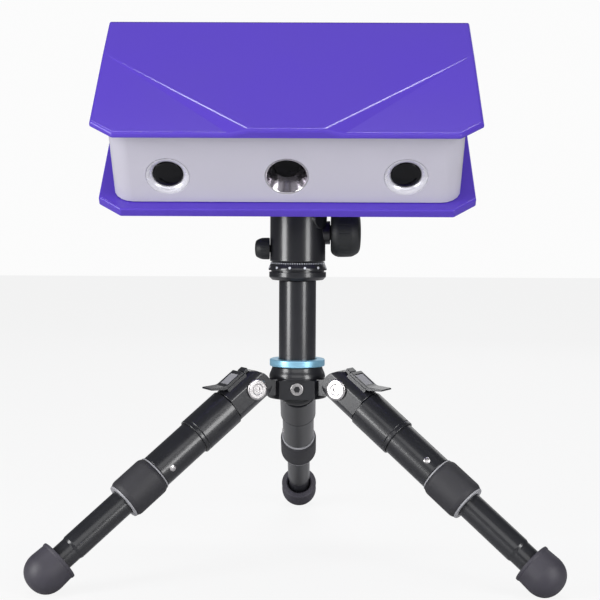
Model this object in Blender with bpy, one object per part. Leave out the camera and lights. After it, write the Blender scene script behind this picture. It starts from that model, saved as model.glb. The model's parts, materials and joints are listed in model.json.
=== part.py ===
"""Structured-light 3-D scanner standing on a small three-legged ball-head stand.

Metres, +Z up. The scanner looks along -Y and is tilted nose-down on the ball.
Every separate piece is one object. Empties carry the joints: each one lies on
the axis that its pieces turn about or slide along.
"""
import math

import bmesh
import bpy
from mathutils import Matrix, Vector

# Fits
GAP = 0.0003                   # air between pieces that touch or slide
OVERCUT = 0.002                # how far a cutter runs past the face it opens
SMALL_EDGE = 0.0006            # chamfer on the rims of turned pieces

# Scanner case
SCANNER_WIDTH = 0.2095
SCANNER_DEPTH = 0.1090
SCANNER_HEIGHT = 0.0580
TRAY_THICKNESS = 0.0050
COVER_THICKNESS = 0.0053
CORNER_CUT_X = 0.0130          # the slanted front corners of tray and cover
CORNER_CUT_Y = 0.0105
FRONT_OVERHANG = 0.0060        # tray and cover run past the wall by this much
SIDE_OVERHANG = 0.0085
BACK_OVERHANG = 0.0040
WALL = 0.0024
WALL_CORNER_RADIUS = 0.0115
REAR_WALL = 0.0024
FOLD_START_Y = 0.0200          # where the fold of the cover leaves its side edge
FOLD_END_X = 0.0185            # half the width of the raised panel at the front
FOLD_RUN = 0.0115              # width of the slope beside the panel, at the front
FOLD_DROP = 0.0026             # height of that slope, at the front

# Cover posts and the screws that hold the case together
POST_SIDE_INSET = 0.0098       # from the outside of the wall to a post's axis
POST_FRONT_INSET = 0.0145
POST_REAR_INSET = 0.0115
POST_RADIUS = 0.0036
CASE_SCREW_RADIUS = 0.0015
CASE_SCREW_HEAD_RADIUS = 0.0028
CASE_SCREW_HEAD_HEIGHT = 0.0022
CASE_SCREW_LENGTH = 0.0160

# Optics behind the front wall
LENS_INSET = 0.0315            # from the side of the wall to a camera's axis
LENS_HEIGHT = 0.0230           # above the underside of the tray
BEZEL_RADIUS = 0.0115
CAMERA_MOUTH_RADIUS = 0.0108
CAMERA_THROAT_RADIUS = 0.0085
CAMERA_CONE_DEPTH = 0.0030
CAMERA_BEZEL_DEPTH = 0.0065
PROJECTOR_MOUTH_RADIUS = 0.0110
PROJECTOR_THROAT_RADIUS = 0.0074
PROJECTOR_CONE_DEPTH = 0.0095
PROJECTOR_BEZEL_DEPTH = 0.0130
GLASS_THICKNESS = 0.0016
BARREL_RADIUS = 0.0080
CAMERA_BARREL_END = 0.0260     # depth behind the front wall's face
CAMERA_BODY_END = 0.0330
CAMERA_BODY_RADIUS = 0.0110
RAIL_FRONT = 0.0146
RAIL_THICKNESS = 0.0040
RAIL_END_MARGIN = 0.0142       # rail past a camera's axis
RAIL_RISE = 0.0170             # rail above the cameras' axes
PROJECTOR_BARREL_REACH = 0.0150  # barrel behind the rail
ENGINE_HALF_WIDTH = 0.0180
ENGINE_LENGTH = 0.0390
ENGINE_HEADROOM = 0.0087

# Main board, sockets and the threaded insert under the case
BOARD_SIDE_ROOM = 0.0260       # from the outside of the wall to the board
BOARD_LIFT = 0.0020            # height of its feet above the tray
BOARD_THICKNESS = 0.0016
BOARD_FOOT_RADIUS = 0.0030
BOARD_FOOT_INSET = 0.0060
DATA_SOCKET_X = -0.0300
DATA_SOCKET_WIDTH = 0.0120
DATA_SOCKET_HEIGHT = 0.0108
DATA_OPENING_WIDTH = 0.0086
DATA_OPENING_HEIGHT = 0.0078
POWER_SOCKET_X = 0.0300
POWER_SOCKET_WIDTH = 0.0100
POWER_SOCKET_HEIGHT = 0.0110
POWER_BORE_RADIUS = 0.0031
SOCKET_LENGTH = 0.0140
SOCKET_DEPTH = 0.0095
INSERT_RADIUS = 0.0060
INSERT_FLANGE_RADIUS = 0.0078
INSERT_FLANGE = 0.0016
INSERT_TOP = 0.0086
INSERT_RECESS = 0.0004
STUD_RADIUS = 0.0030
STUD_REACH = 0.0066            # how far the stud stands into the insert
STUD_SINK = 0.0040             # how deep the stud sits in the platform

# Ball head
TILT = math.radians(39.0)      # nose-down tilt of the scanner at rest
MOUNT_OFFSET_X = -0.0054       # middle of the scanner from the stand's axis
BALL_RADIUS = 0.0123
STEM_RADIUS = 0.0050
STEM_SINK = 0.0034             # how deep the stem sits in the platform
UNDERSIDE_DISTANCE = 0.0250    # ball centre to the underside of the tray
PLATFORM_THICKNESS = 0.0087
PLATFORM_RADIUS = 0.0160
PLATFORM_EDGE = 0.0010
HEAD_RADIUS = 0.0164
HEAD_WALL_TOP = 0.0050         # rim of the head above the ball centre
HEAD_HEIGHT = 0.0460
HEAD_EDGE = 0.0012
CUP_HEIGHT = 0.0070
CUP_EDGE_ANGLE = math.radians(38.0)  # the cup's edge below the ball's middle
BASE_RADIUS = 0.0173
BASE_FLANGE_RADIUS = 0.0169
BASE_FLANGE_HEIGHT = 0.0048
BASE_GROOVE = 0.0010
BASE_GROOVE_DEPTH = 0.0012
BASE_SCALE_HEIGHT = 0.0050
BASE_CHAMFER = 0.0018
PIVOT_POST_RADIUS = 0.0068
PIVOT_POST_HEIGHT = 0.0120
LOCK_KNOB_RADIUS = 0.0146
LOCK_KNOB_START = 0.0196       # from the stand's axis
LOCK_KNOB_LENGTH = 0.0178
LOCK_KNOB_DROP = 0.0240        # its axis below the ball centre
LOCK_KNOB_BACK_EDGE = 0.0022
LOCK_KNOB_DOME = 0.0060        # length of its rounded end
LOCK_SHAFT_RADIUS = 0.0045
PAN_KNOB_RADIUS = 0.0065
PAN_KNOB_LENGTH = 0.0088
PAN_KNOB_RISE = 0.0074         # its axis above the pan seam
PAN_KNOB_DOME = 0.0026
PAN_SHAFT_RADIUS = 0.0022

# Column, collar and hub
COLUMN_RADIUS = 0.0110
COLUMN_LENGTH = 0.0665         # from the hub's ledge to the ball head
COLUMN_BORE_RADIUS = 0.0064
COLUMN_ROOF = 0.0030           # closed top of the column's bore
COLUMN_STUD_RADIUS = 0.0045
COLUMN_STUD_LENGTH = 0.0070
COLLAR_RADIUS = 0.0164
COLLAR_HEIGHT = 0.0042
BELL_TOP_RADIUS = 0.0148
BELL_RADIUS = 0.0167
BELL_TOP = 0.0111              # heights from the leg pivots
BELL_BOTTOM = 0.0040
BELL_SKIRT = 0.0020
HUB_BOTTOM = -0.0074
HUB_BLOCK_RADIUS = 0.0176
HUB_FLAT_DISTANCE = 0.0146
HUB_LEDGE = -0.0045
PLUG_RADIUS = 0.0087
PLUG_HEIGHT = 0.0046
PLUG_EDGE = 0.0028
PLUG_SPIGOT_RADIUS = 0.0058
PLUG_SPIGOT_HEIGHT = 0.0100
SET_SCREW_HEIGHT = -0.0012
SET_SCREW_HEAD_RADIUS = 0.0037
SET_SCREW_HEAD = 0.0010
SET_SCREW_RADIUS = 0.0022
SET_SCREW_SOCKET = 0.0016

# Legs: lengths run down the leg from its pivot
LEG_AZIMUTHS = {"left": 210.0, "right": 330.0, "back": 90.0}
LEG_SLOPE = math.radians(37.1)
PIVOT_REACH = 0.0323           # from the stand's axis
EYE_RADIUS = 0.0068
EYE_HALF_WIDTH = 0.0045
STOP_RADIUS = 0.0104
STOP_GAP_ANGLE = math.radians(3.0)
NOSE_ANGLE = math.radians(75.0)
LUG_TOP = 0.0044
LUG_BOTTOM = -0.0050
PIVOT_BOLT_RADIUS = 0.0030
PIVOT_HEAD_RADIUS = 0.0062
PIVOT_HEAD_THICKNESS = 0.0016
EAR_FACE = 0.0095
LEG_HEAD_STEP = 0.0004         # leg head over the tube, and over its own round end
LEG_HEAD_LENGTH = 0.0170
FORK_DEPTH = 0.0104
TUBE_RADIUS = 0.0102
TUBE_WALL = 0.0013
SPIGOT_RADIUS = 0.0078
SPIGOT_START = 0.0116
SLEEVE_GROOVE = 0.0006
SLEEVE_END = 0.0442
SLEEVE_WALL = 0.0008
LOCK_START = 0.0746
LOCK_END = 0.0994
LOCK_GRIP_STEP = 0.0016        # grip over the upper tube
LOCK_EDGE = 0.0016
NOSE_RADIUS = 0.0091
LOWER_TUBE_RADIUS = 0.0076
LOWER_TUBE_WALL = 0.0012
GUIDE_LENGTH = 0.0050
FOOT_START = 0.1474
FOOT_CENTRE = 0.1559
FOOT_RADIUS = 0.0122
FOOT_SOCKET_DEPTH = 0.0090
FOOT_FLAT = 0.0004             # how much of the dome the resting flat takes
TAB_HALF_WIDTH = 0.0062
TAB_RAIL_STEP = 0.0001         # the head's rail stands this much over the sleeve
TAB_RAIL_HALF_WIDTH = 0.0060
TAB_RAIL_START = -0.0040
TAB_RAIL_END = 0.0164
TAB_THICKNESS = 0.0024
TAB_END = 0.0168
TAB_LIP_RUN = 0.0092
TAB_LIP_RISE = 0.0088
TAB_LIP_THICKNESS = 0.0010
TAB_NOSE_HALF_WIDTH = 0.0038
TAB_NOSE_LENGTH = 0.0032

# How finely round pieces are divided
SEGMENTS_LARGE = 32
SEGMENTS_LEG = 24
SEGMENTS_SMALL = 16
CORNER_STEPS = 5

# Heights above the floor, worked out from the feet up
PIVOT_HEIGHT = FOOT_CENTRE * math.sin(LEG_SLOPE) + FOOT_RADIUS - FOOT_FLAT
COLLAR_BOTTOM = PIVOT_HEIGHT + BELL_TOP + GAP
COLUMN_BOTTOM = PIVOT_HEIGHT + HUB_LEDGE + GAP
COLUMN_TOP = COLUMN_BOTTOM + COLUMN_LENGTH
BASE_BOTTOM = COLUMN_TOP + GAP
BASE_TOP = BASE_BOTTOM + BASE_FLANGE_HEIGHT + BASE_GROOVE + BASE_SCALE_HEIGHT
HEAD_BOTTOM = BASE_TOP + GAP
HEAD_TOP = HEAD_BOTTOM + HEAD_HEIGHT
BALL_HEIGHT = HEAD_TOP - HEAD_WALL_TOP
CUP_TOP = BALL_HEIGHT - BALL_RADIUS * math.sin(CUP_EDGE_ANGLE)
LOCK_HEIGHT = BALL_HEIGHT - LOCK_KNOB_DROP
PAN_KNOB_HEIGHT = HEAD_BOTTOM + PAN_KNOB_RISE
LOCK_SHAFT_START = PIVOT_POST_RADIUS
SLEEVE_RADIUS = TUBE_RADIUS + GAP + SLEEVE_WALL
LEG_HEAD_RADIUS = TUBE_RADIUS + LEG_HEAD_STEP
HEAD_END_RADIUS = LEG_HEAD_RADIUS - LEG_HEAD_STEP
LOCK_GRIP_RADIUS = TUBE_RADIUS + LOCK_GRIP_STEP
TAB_SEAT = SLEEVE_RADIUS + TAB_RAIL_STEP

# Planes of the case, above the underside of the tray
WALL_BOTTOM = TRAY_THICKNESS + GAP
COVER_BOTTOM = SCANNER_HEIGHT - COVER_THICKNESS
WALL_TOP = COVER_BOTTOM - GAP
ENGINE_TOP = COVER_BOTTOM - ENGINE_HEADROOM
WALL_FRONT_Y = FRONT_OVERHANG - SCANNER_DEPTH / 2
WALL_HALF_WIDTH = SCANNER_WIDTH / 2 - SIDE_OVERHANG
REAR_FACE_Y = SCANNER_DEPTH / 2 - BACK_OVERHANG
REAR_INNER_Y = REAR_FACE_Y - REAR_WALL
POST_X = WALL_HALF_WIDTH - POST_SIDE_INSET
POST_FRONT_Y = WALL_FRONT_Y + POST_FRONT_INSET
POST_REAR_Y = REAR_FACE_Y - POST_REAR_INSET
LENS_SPACING = WALL_HALF_WIDTH - LENS_INSET
RAIL_HALF_WIDTH = LENS_SPACING + RAIL_END_MARGIN
RAIL_TOP = LENS_HEIGHT + RAIL_RISE
BOARD_HALF_WIDTH = WALL_HALF_WIDTH - BOARD_SIDE_ROOM
BOARD_BOTTOM = WALL_BOTTOM + BOARD_LIFT
BOARD_TOP = BOARD_BOTTOM + BOARD_THICKNESS
BOARD_FRONT_Y = WALL_FRONT_Y + RAIL_FRONT + RAIL_THICKNESS + 2 * GAP
BOARD_REAR_Y = REAR_INNER_Y - 3 * GAP

MATERIALS = {}
FINISHES = {
    "violet_plastic": ((0.115, 0.062, 0.540), 0.34, 0.0),
    "grey_housing": ((0.480, 0.465, 0.530), 0.42, 0.25),
    "silver_cone": ((0.780, 0.770, 0.800), 0.18, 1.0),
    "dark_glass": ((0.010, 0.010, 0.014), 0.05, 0.0),
    "black_plastic": ((0.020, 0.020, 0.022), 0.50, 0.0),
    "aluminium": ((0.600, 0.600, 0.620), 0.35, 1.0),
    "circuit_green": ((0.020, 0.130, 0.060), 0.50, 0.0),
    "brass": ((0.700, 0.520, 0.240), 0.30, 1.0),
    "socket_steel": ((0.550, 0.550, 0.560), 0.30, 1.0),
    "screw_steel": ((0.640, 0.630, 0.640), 0.28, 1.0),
    "black_anodised": ((0.030, 0.030, 0.035), 0.30, 0.8),
    "ball_steel": ((0.500, 0.500, 0.520), 0.15, 1.0),
    "rubber_black": ((0.022, 0.023, 0.025), 0.70, 0.0),
    "blue_anodised": ((0.230, 0.450, 0.640), 0.30, 0.7),
    "grip_grey": ((0.048, 0.046, 0.056), 0.75, 0.0),
    "foot_rubber": ((0.070, 0.067, 0.084), 0.80, 0.0),
}


def clear_scene():
    for item in list(bpy.data.objects):
        bpy.data.objects.remove(item, do_unlink=True)


def material(name):
    if name not in MATERIALS:
        colour, roughness, metallic = FINISHES[name]
        made = bpy.data.materials.new(name)
        made.use_nodes = True
        shader = made.node_tree.nodes["Principled BSDF"]
        shader.inputs["Base Color"].default_value = (*colour, 1.0)
        shader.inputs["Roughness"].default_value = roughness
        shader.inputs["Metallic"].default_value = metallic
        MATERIALS[name] = made
    return MATERIALS[name]


def frame(name, parent, matrix):
    """An empty that carries pieces; its matrix is given under its parent."""
    made = bpy.data.objects.new(name, None)
    made.empty_display_size = 0.01
    bpy.context.collection.objects.link(made)
    made.parent = parent
    made.matrix_local = matrix
    return made


def piece(name, solid, finish, parent, smooth=True):
    """Turn a bmesh into a named object with its own material."""
    bmesh.ops.recalc_face_normals(solid, faces=solid.faces[:])
    mesh = bpy.data.meshes.new(name)
    solid.to_mesh(mesh)
    solid.free()
    made = bpy.data.objects.new(name, mesh)
    made.data.materials.append(material(finish))
    bpy.context.collection.objects.link(made)
    made.parent = parent
    if smooth:
        for face in mesh.polygons:
            face.use_smooth = True
    return made


def turned(profile, segments, to_place=None, closed=False):
    """Spin (radius, height) points about Z. A closed profile is a ring."""
    solid = bmesh.new()
    points = [solid.verts.new((radius, 0.0, height)) for radius, height in profile]
    edges = [solid.edges.new(pair) for pair in zip(points, points[1:])]
    if closed:
        edges.append(solid.edges.new((points[-1], points[0])))
    bmesh.ops.spin(solid, geom=points + edges, cent=(0, 0, 0), axis=(0, 0, 1),
                   angle=math.tau, steps=segments, use_merge=True, dvec=(0, 0, 0))
    bmesh.ops.remove_doubles(solid, verts=solid.verts[:], dist=1e-7)
    if to_place:
        bmesh.ops.transform(solid, matrix=to_place, verts=solid.verts[:])
    return solid


def prism(outline, low, high, to_place=None):
    """Raise a flat outline of (x, y) points from low to high."""
    solid = bmesh.new()
    base = solid.faces.new([solid.verts.new((x, y, low)) for x, y in outline])
    raised = bmesh.ops.extrude_face_region(solid, geom=[base])
    top = [item for item in raised["geom"] if isinstance(item, bmesh.types.BMVert)]
    bmesh.ops.translate(solid, vec=(0, 0, high - low), verts=top)
    if to_place:
        bmesh.ops.transform(solid, matrix=to_place, verts=solid.verts[:])
    return solid


def box(x_range, y_range, z_range):
    """A block between pairs of coordinates."""
    low = Vector((x_range[0], y_range[0], z_range[0]))
    high = Vector((x_range[1], y_range[1], z_range[1]))
    solid = bmesh.new()
    place = Matrix.Translation((low + high) / 2) @ Matrix.Diagonal((*(high - low), 1.0))
    bmesh.ops.create_cube(solid, size=1.0, matrix=place)
    return solid


def rod(radius, low, high, segments, to_place=None):
    """A plain cylinder along Z."""
    return turned([(0, low), (radius, low), (radius, high), (0, high)], segments, to_place)


def carve(target, solid, operation="DIFFERENCE"):
    """Cut a solid from the target, or join it on, with a hidden object."""
    bmesh.ops.recalc_face_normals(solid, faces=solid.faces[:])
    name = target.name + "_" + operation.lower()
    mesh = bpy.data.meshes.new(name)
    solid.to_mesh(mesh)
    solid.free()
    tool = bpy.data.objects.new(name, mesh)
    bpy.context.collection.objects.link(tool)
    tool.parent = target.parent
    tool.hide_render = True
    tool.display_type = "WIRE"
    tool.hide_set(True)
    modifier = target.modifiers.new(name, "BOOLEAN")
    modifier.operation = operation
    modifier.solver = "EXACT"
    modifier.object = tool


def arc(centre, radius, start, end, steps):
    """Points on an arc, angles in radians."""
    turns = [start + (end - start) * step / steps for step in range(steps + 1)]
    return [(centre[0] + radius * math.cos(turn), centre[1] + radius * math.sin(turn))
            for turn in turns]


ALONG_X = Matrix.Rotation(math.radians(90), 4, "Y")
ALONG_Y = Matrix.Rotation(math.radians(-90), 4, "X")


# ---------------------------------------------------------------- scanner case

def plate_outline():
    """Plan of tray and cover: a rectangle with its front corners cut."""
    half_x = SCANNER_WIDTH / 2
    half_y = SCANNER_DEPTH / 2
    return [(half_x, half_y), (-half_x, half_y), (-half_x, CORNER_CUT_Y - half_y),
            (CORNER_CUT_X - half_x, -half_y), (half_x - CORNER_CUT_X, -half_y),
            (half_x, CORNER_CUT_Y - half_y)]


def post_places():
    places = {}
    for side, sign in (("left", -1), ("right", 1)):
        places["front_" + side] = (sign * POST_X, POST_FRONT_Y)
        places["rear_" + side] = (sign * POST_X, POST_REAR_Y)
    return places


def make_tray(parent):
    tray = piece("bottom_tray", prism(plate_outline(), 0, TRAY_THICKNESS),
                 "violet_plastic", parent, smooth=False)
    mount = Matrix.Translation((-MOUNT_OFFSET_X, 0, 0))
    carve(tray, rod(INSERT_RADIUS + GAP, -OVERCUT, TRAY_THICKNESS + OVERCUT,
                    SEGMENTS_LEG, mount))
    for x, y in post_places().values():
        place = Matrix.Translation((x, y, 0))
        shank = CASE_SCREW_RADIUS + GAP
        head = CASE_SCREW_HEAD_RADIUS + GAP
        recess = CASE_SCREW_HEAD_HEIGHT + GAP
        profile = [(0, -OVERCUT), (head, -OVERCUT), (head, recess), (shank, recess),
                   (shank, TRAY_THICKNESS + OVERCUT), (0, TRAY_THICKNESS + OVERCUT)]
        carve(tray, turned(profile, SEGMENTS_SMALL, place))


def make_cover(parent):
    """A plate whose front corners fall away from a raised middle panel."""
    half_x = SCANNER_WIDTH / 2
    half_y = SCANNER_DEPTH / 2
    slope = FOLD_DROP / (FOLD_START_Y + half_y)
    solid = bmesh.new()

    def top(x, y, low=False):
        drop = slope * (FOLD_START_Y - y) if low else 0.0
        return solid.verts.new((x, y, SCANNER_HEIGHT - drop))

    def under(x, y):
        return solid.verts.new((x, y, COVER_BOTTOM))

    tops = {}
    unders = {}
    for side in (-1, 1):
        tops[side] = {
            "back": top(side * half_x, half_y),
            "start": top(side * half_x, FOLD_START_Y),
            "tip": top(side * half_x, CORNER_CUT_Y - half_y, True),
            "cut": top(side * (half_x - CORNER_CUT_X), -half_y, True),
            "foot": top(side * (FOLD_END_X + FOLD_RUN), -half_y, True),
            "crease": top(side * FOLD_END_X, -half_y),
        }
        unders[side] = {
            "back": under(side * half_x, half_y),
            "tip": under(side * half_x, CORNER_CUT_Y - half_y),
            "cut": under(side * (half_x - CORNER_CUT_X), -half_y),
        }
    left, right = tops[-1], tops[1]
    low_left, low_right = unders[-1], unders[1]
    solid.faces.new([right["back"], left["back"], left["start"], left["crease"],
                     right["crease"], right["start"]])
    for side in (-1, 1):
        upper, lower = tops[side], unders[side]
        solid.faces.new([upper["start"], upper["foot"], upper["crease"]])
        solid.faces.new([upper["start"], upper["tip"], upper["cut"], upper["foot"]])
        solid.faces.new([lower["back"], lower["tip"], upper["tip"], upper["start"],
                         upper["back"]])
        solid.faces.new([lower["tip"], lower["cut"], upper["cut"], upper["tip"]])
    solid.faces.new([left["back"], right["back"], low_right["back"], low_left["back"]])
    solid.faces.new([low_left["cut"], low_right["cut"], right["cut"], right["foot"],
                     right["crease"], left["crease"], left["foot"], left["cut"]])
    solid.faces.new([low_left["back"], low_right["back"], low_right["tip"],
                     low_right["cut"], low_left["cut"], low_left["tip"]])
    cover = piece("top_cover", solid, "violet_plastic", parent, smooth=False)
    for x, y in post_places().values():
        place = Matrix.Translation((x, y, 0))
        carve(cover, rod(POST_RADIUS, WALL_BOTTOM, COVER_BOTTOM + OVERCUT / 2,
                         SEGMENTS_SMALL, place), "UNION")
        bore = CASE_SCREW_RADIUS + GAP
        top_of_bore = CASE_SCREW_LENGTH + 2 * GAP
        carve(cover, rod(bore, WALL_BOTTOM - OVERCUT, top_of_bore, SEGMENTS_SMALL, place))


def make_wall(parent):
    """Front and both sides of the case in one bent wall, open at the back."""
    ends = REAR_INNER_Y - GAP
    centre_x = WALL_HALF_WIDTH - WALL_CORNER_RADIUS
    centre_y = WALL_FRONT_Y + WALL_CORNER_RADIUS
    inner_radius = WALL_CORNER_RADIUS - WALL
    outer = [(WALL_HALF_WIDTH, ends)]
    outer += arc((centre_x, centre_y), WALL_CORNER_RADIUS, 0, -math.pi / 2, CORNER_STEPS)
    outer += arc((-centre_x, centre_y), WALL_CORNER_RADIUS, -math.pi / 2, -math.pi,
                 CORNER_STEPS)
    outer += [(-WALL_HALF_WIDTH, ends)]
    inner = [(WALL_HALF_WIDTH - WALL, ends)]
    inner += arc((centre_x, centre_y), inner_radius, 0, -math.pi / 2, CORNER_STEPS)
    inner += arc((-centre_x, centre_y), inner_radius, -math.pi / 2, -math.pi, CORNER_STEPS)
    inner += [(WALL - WALL_HALF_WIDTH, ends)]
    wall = piece("front_housing", prism(outer + inner[::-1], WALL_BOTTOM, WALL_TOP),
                 "grey_housing", parent, smooth=False)
    for x in (-LENS_SPACING, 0.0, LENS_SPACING):
        place = Matrix.Translation((x, WALL_FRONT_Y, LENS_HEIGHT)) @ ALONG_Y
        carve(wall, rod(BEZEL_RADIUS + GAP, -OVERCUT, WALL + OVERCUT,
                        SEGMENTS_LEG, place))


def socket_sizes():
    """Each rear socket: middle, width and height."""
    return {
        "data_socket": (DATA_SOCKET_X, DATA_SOCKET_WIDTH, DATA_SOCKET_HEIGHT),
        "power_socket": (POWER_SOCKET_X, POWER_SOCKET_WIDTH, POWER_SOCKET_HEIGHT),
    }


def make_rear_panel(parent):
    panel = piece("rear_panel", box((-WALL_HALF_WIDTH, WALL_HALF_WIDTH),
                                    (REAR_INNER_Y, REAR_FACE_Y),
                                    (WALL_BOTTOM, WALL_TOP)),
                  "grey_housing", parent, smooth=False)
    for x, width, height in socket_sizes().values():
        reach = width / 2 + GAP
        carve(panel, box((x - reach, x + reach),
                         (REAR_INNER_Y - OVERCUT, REAR_FACE_Y + OVERCUT),
                         (BOARD_TOP, BOARD_TOP + height + 2 * GAP)))


def make_sockets(parent):
    start = REAR_FACE_Y - SOCKET_LENGTH
    for name, (x, width, height) in socket_sizes().items():
        low = BOARD_TOP + GAP
        shell = piece(name, box((x - width / 2, x + width / 2), (start, REAR_FACE_Y),
                                (low, low + height)),
                      "socket_steel" if name == "data_socket" else "black_plastic",
                      parent, smooth=False)
        middle = low + height / 2
        mouth = REAR_FACE_Y - SOCKET_DEPTH
        if name == "data_socket":
            carve(shell, box((x - DATA_OPENING_WIDTH / 2, x + DATA_OPENING_WIDTH / 2),
                             (mouth, REAR_FACE_Y + OVERCUT),
                             (middle - DATA_OPENING_HEIGHT / 2,
                              middle + DATA_OPENING_HEIGHT / 2)))
        else:
            place = Matrix.Translation((x, mouth, middle)) @ ALONG_Y
            carve(shell, rod(POWER_BORE_RADIUS, 0, SOCKET_DEPTH + OVERCUT,
                             SEGMENTS_SMALL, place))


def make_case_screws(parent):
    for name, (x, y) in post_places().items():
        place = Matrix.Translation((x, y, 0))
        profile = [(0, GAP), (CASE_SCREW_HEAD_RADIUS, GAP),
                   (CASE_SCREW_HEAD_RADIUS, CASE_SCREW_HEAD_HEIGHT),
                   (CASE_SCREW_RADIUS, CASE_SCREW_HEAD_HEIGHT),
                   (CASE_SCREW_RADIUS, CASE_SCREW_LENGTH), (0, CASE_SCREW_LENGTH)]
        piece("case_screw_" + name, turned(profile, SEGMENTS_SMALL, place),
              "screw_steel", parent)


# --------------------------------------------------------- optics and the board

def lens_frame(x):
    """Looks back into the case from the face of the front wall."""
    return Matrix.Translation((x, WALL_FRONT_Y, LENS_HEIGHT)) @ ALONG_Y


def cone_ring(mouth, throat, cone_depth, depth):
    return [(BEZEL_RADIUS, 0), (mouth, 0), (throat, cone_depth), (throat, depth),
            (BEZEL_RADIUS, depth)]


def make_cameras(parent):
    for side, sign in (("left", -1), ("right", 1)):
        place = lens_frame(sign * LENS_SPACING)
        ring = cone_ring(CAMERA_MOUTH_RADIUS, CAMERA_THROAT_RADIUS, CAMERA_CONE_DEPTH,
                         CAMERA_BEZEL_DEPTH)
        piece("camera_bezel_" + side, turned(ring, SEGMENTS_LARGE, place, closed=True),
              "silver_cone", parent)
        glass_front = CAMERA_CONE_DEPTH + GAP
        glass_back = glass_front + GLASS_THICKNESS
        piece("camera_glass_" + side,
              rod(CAMERA_THROAT_RADIUS - GAP, glass_front, glass_back, SEGMENTS_LARGE,
                  place), "dark_glass", parent)
        start = glass_back + GAP
        profile = [(0, start), (BARREL_RADIUS, start), (BARREL_RADIUS, CAMERA_BARREL_END),
                   (CAMERA_BODY_RADIUS, CAMERA_BARREL_END),
                   (CAMERA_BODY_RADIUS, CAMERA_BODY_END), (0, CAMERA_BODY_END)]
        piece("camera_module_" + side, turned(profile, SEGMENTS_LEG, place),
              "black_plastic", parent)


def make_projector(parent):
    place = lens_frame(0.0)
    ring = cone_ring(PROJECTOR_MOUTH_RADIUS, PROJECTOR_THROAT_RADIUS,
                     PROJECTOR_CONE_DEPTH, PROJECTOR_BEZEL_DEPTH)
    piece("projector_cone", turned(ring, SEGMENTS_LARGE, place, closed=True),
          "silver_cone", parent)
    glass_front = PROJECTOR_CONE_DEPTH + GAP
    piece("projector_glass",
          rod(PROJECTOR_THROAT_RADIUS - GAP, glass_front, glass_front + GLASS_THICKNESS,
              SEGMENTS_LARGE, place), "dark_glass", parent)
    barrel_end = RAIL_FRONT + RAIL_THICKNESS + PROJECTOR_BARREL_REACH
    piece("projector_barrel",
          rod(BARREL_RADIUS, PROJECTOR_BEZEL_DEPTH + GAP, barrel_end, SEGMENTS_LEG, place),
          "black_plastic", parent)
    engine_front = WALL_FRONT_Y + barrel_end + GAP
    piece("projector_engine",
          box((-ENGINE_HALF_WIDTH, ENGINE_HALF_WIDTH),
              (engine_front, engine_front + ENGINE_LENGTH),
              (BOARD_TOP + GAP, ENGINE_TOP)), "black_plastic", parent, smooth=False)


def make_rail(parent):
    """Upright bar that holds both cameras and the projector in line."""
    front = WALL_FRONT_Y + RAIL_FRONT
    rail = piece("optical_rail", box((-RAIL_HALF_WIDTH, RAIL_HALF_WIDTH),
                                     (front, front + RAIL_THICKNESS),
                                     (WALL_BOTTOM, RAIL_TOP)),
                 "aluminium", parent, smooth=False)
    for x in (-LENS_SPACING, 0.0, LENS_SPACING):
        carve(rail, rod(BARREL_RADIUS + GAP, RAIL_FRONT - OVERCUT,
                        RAIL_FRONT + RAIL_THICKNESS + OVERCUT, SEGMENTS_LEG,
                        lens_frame(x)))


def make_board(parent):
    board = piece("main_board", box((-BOARD_HALF_WIDTH, BOARD_HALF_WIDTH),
                                    (BOARD_FRONT_Y, BOARD_REAR_Y),
                                    (BOARD_BOTTOM, BOARD_TOP)),
                  "circuit_green", parent, smooth=False)
    for x in (BOARD_FOOT_INSET - BOARD_HALF_WIDTH, BOARD_HALF_WIDTH - BOARD_FOOT_INSET):
        for y in (BOARD_FRONT_Y + BOARD_FOOT_INSET, BOARD_REAR_Y - BOARD_FOOT_INSET):
            carve(board, rod(BOARD_FOOT_RADIUS, WALL_BOTTOM,
                             BOARD_BOTTOM + BOARD_THICKNESS / 2, SEGMENTS_SMALL,
                             Matrix.Translation((x, y, 0))), "UNION")
    carve(board, rod(INSERT_RADIUS + 2 * GAP, BOARD_BOTTOM - OVERCUT,
                     BOARD_TOP + OVERCUT, SEGMENTS_LEG,
                     Matrix.Translation((-MOUNT_OFFSET_X, 0, 0))))


def make_insert(parent):
    """Flanged threaded insert that the stand's stud screws into."""
    bore = STUD_RADIUS + GAP
    flange_low = WALL_BOTTOM
    flange_high = flange_low + INSERT_FLANGE
    profile = [(bore, INSERT_RECESS), (INSERT_RADIUS, INSERT_RECESS),
               (INSERT_RADIUS, flange_low), (INSERT_FLANGE_RADIUS, flange_low),
               (INSERT_FLANGE_RADIUS, flange_high), (INSERT_RADIUS, flange_high),
               (INSERT_RADIUS, INSERT_TOP), (bore, INSERT_TOP)]
    place = Matrix.Translation((-MOUNT_OFFSET_X, 0, 0))
    piece("stand_insert", turned(profile, SEGMENTS_LEG, place, closed=True), "brass",
          parent)


# -------------------------------------------------------------------- ball head

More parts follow.
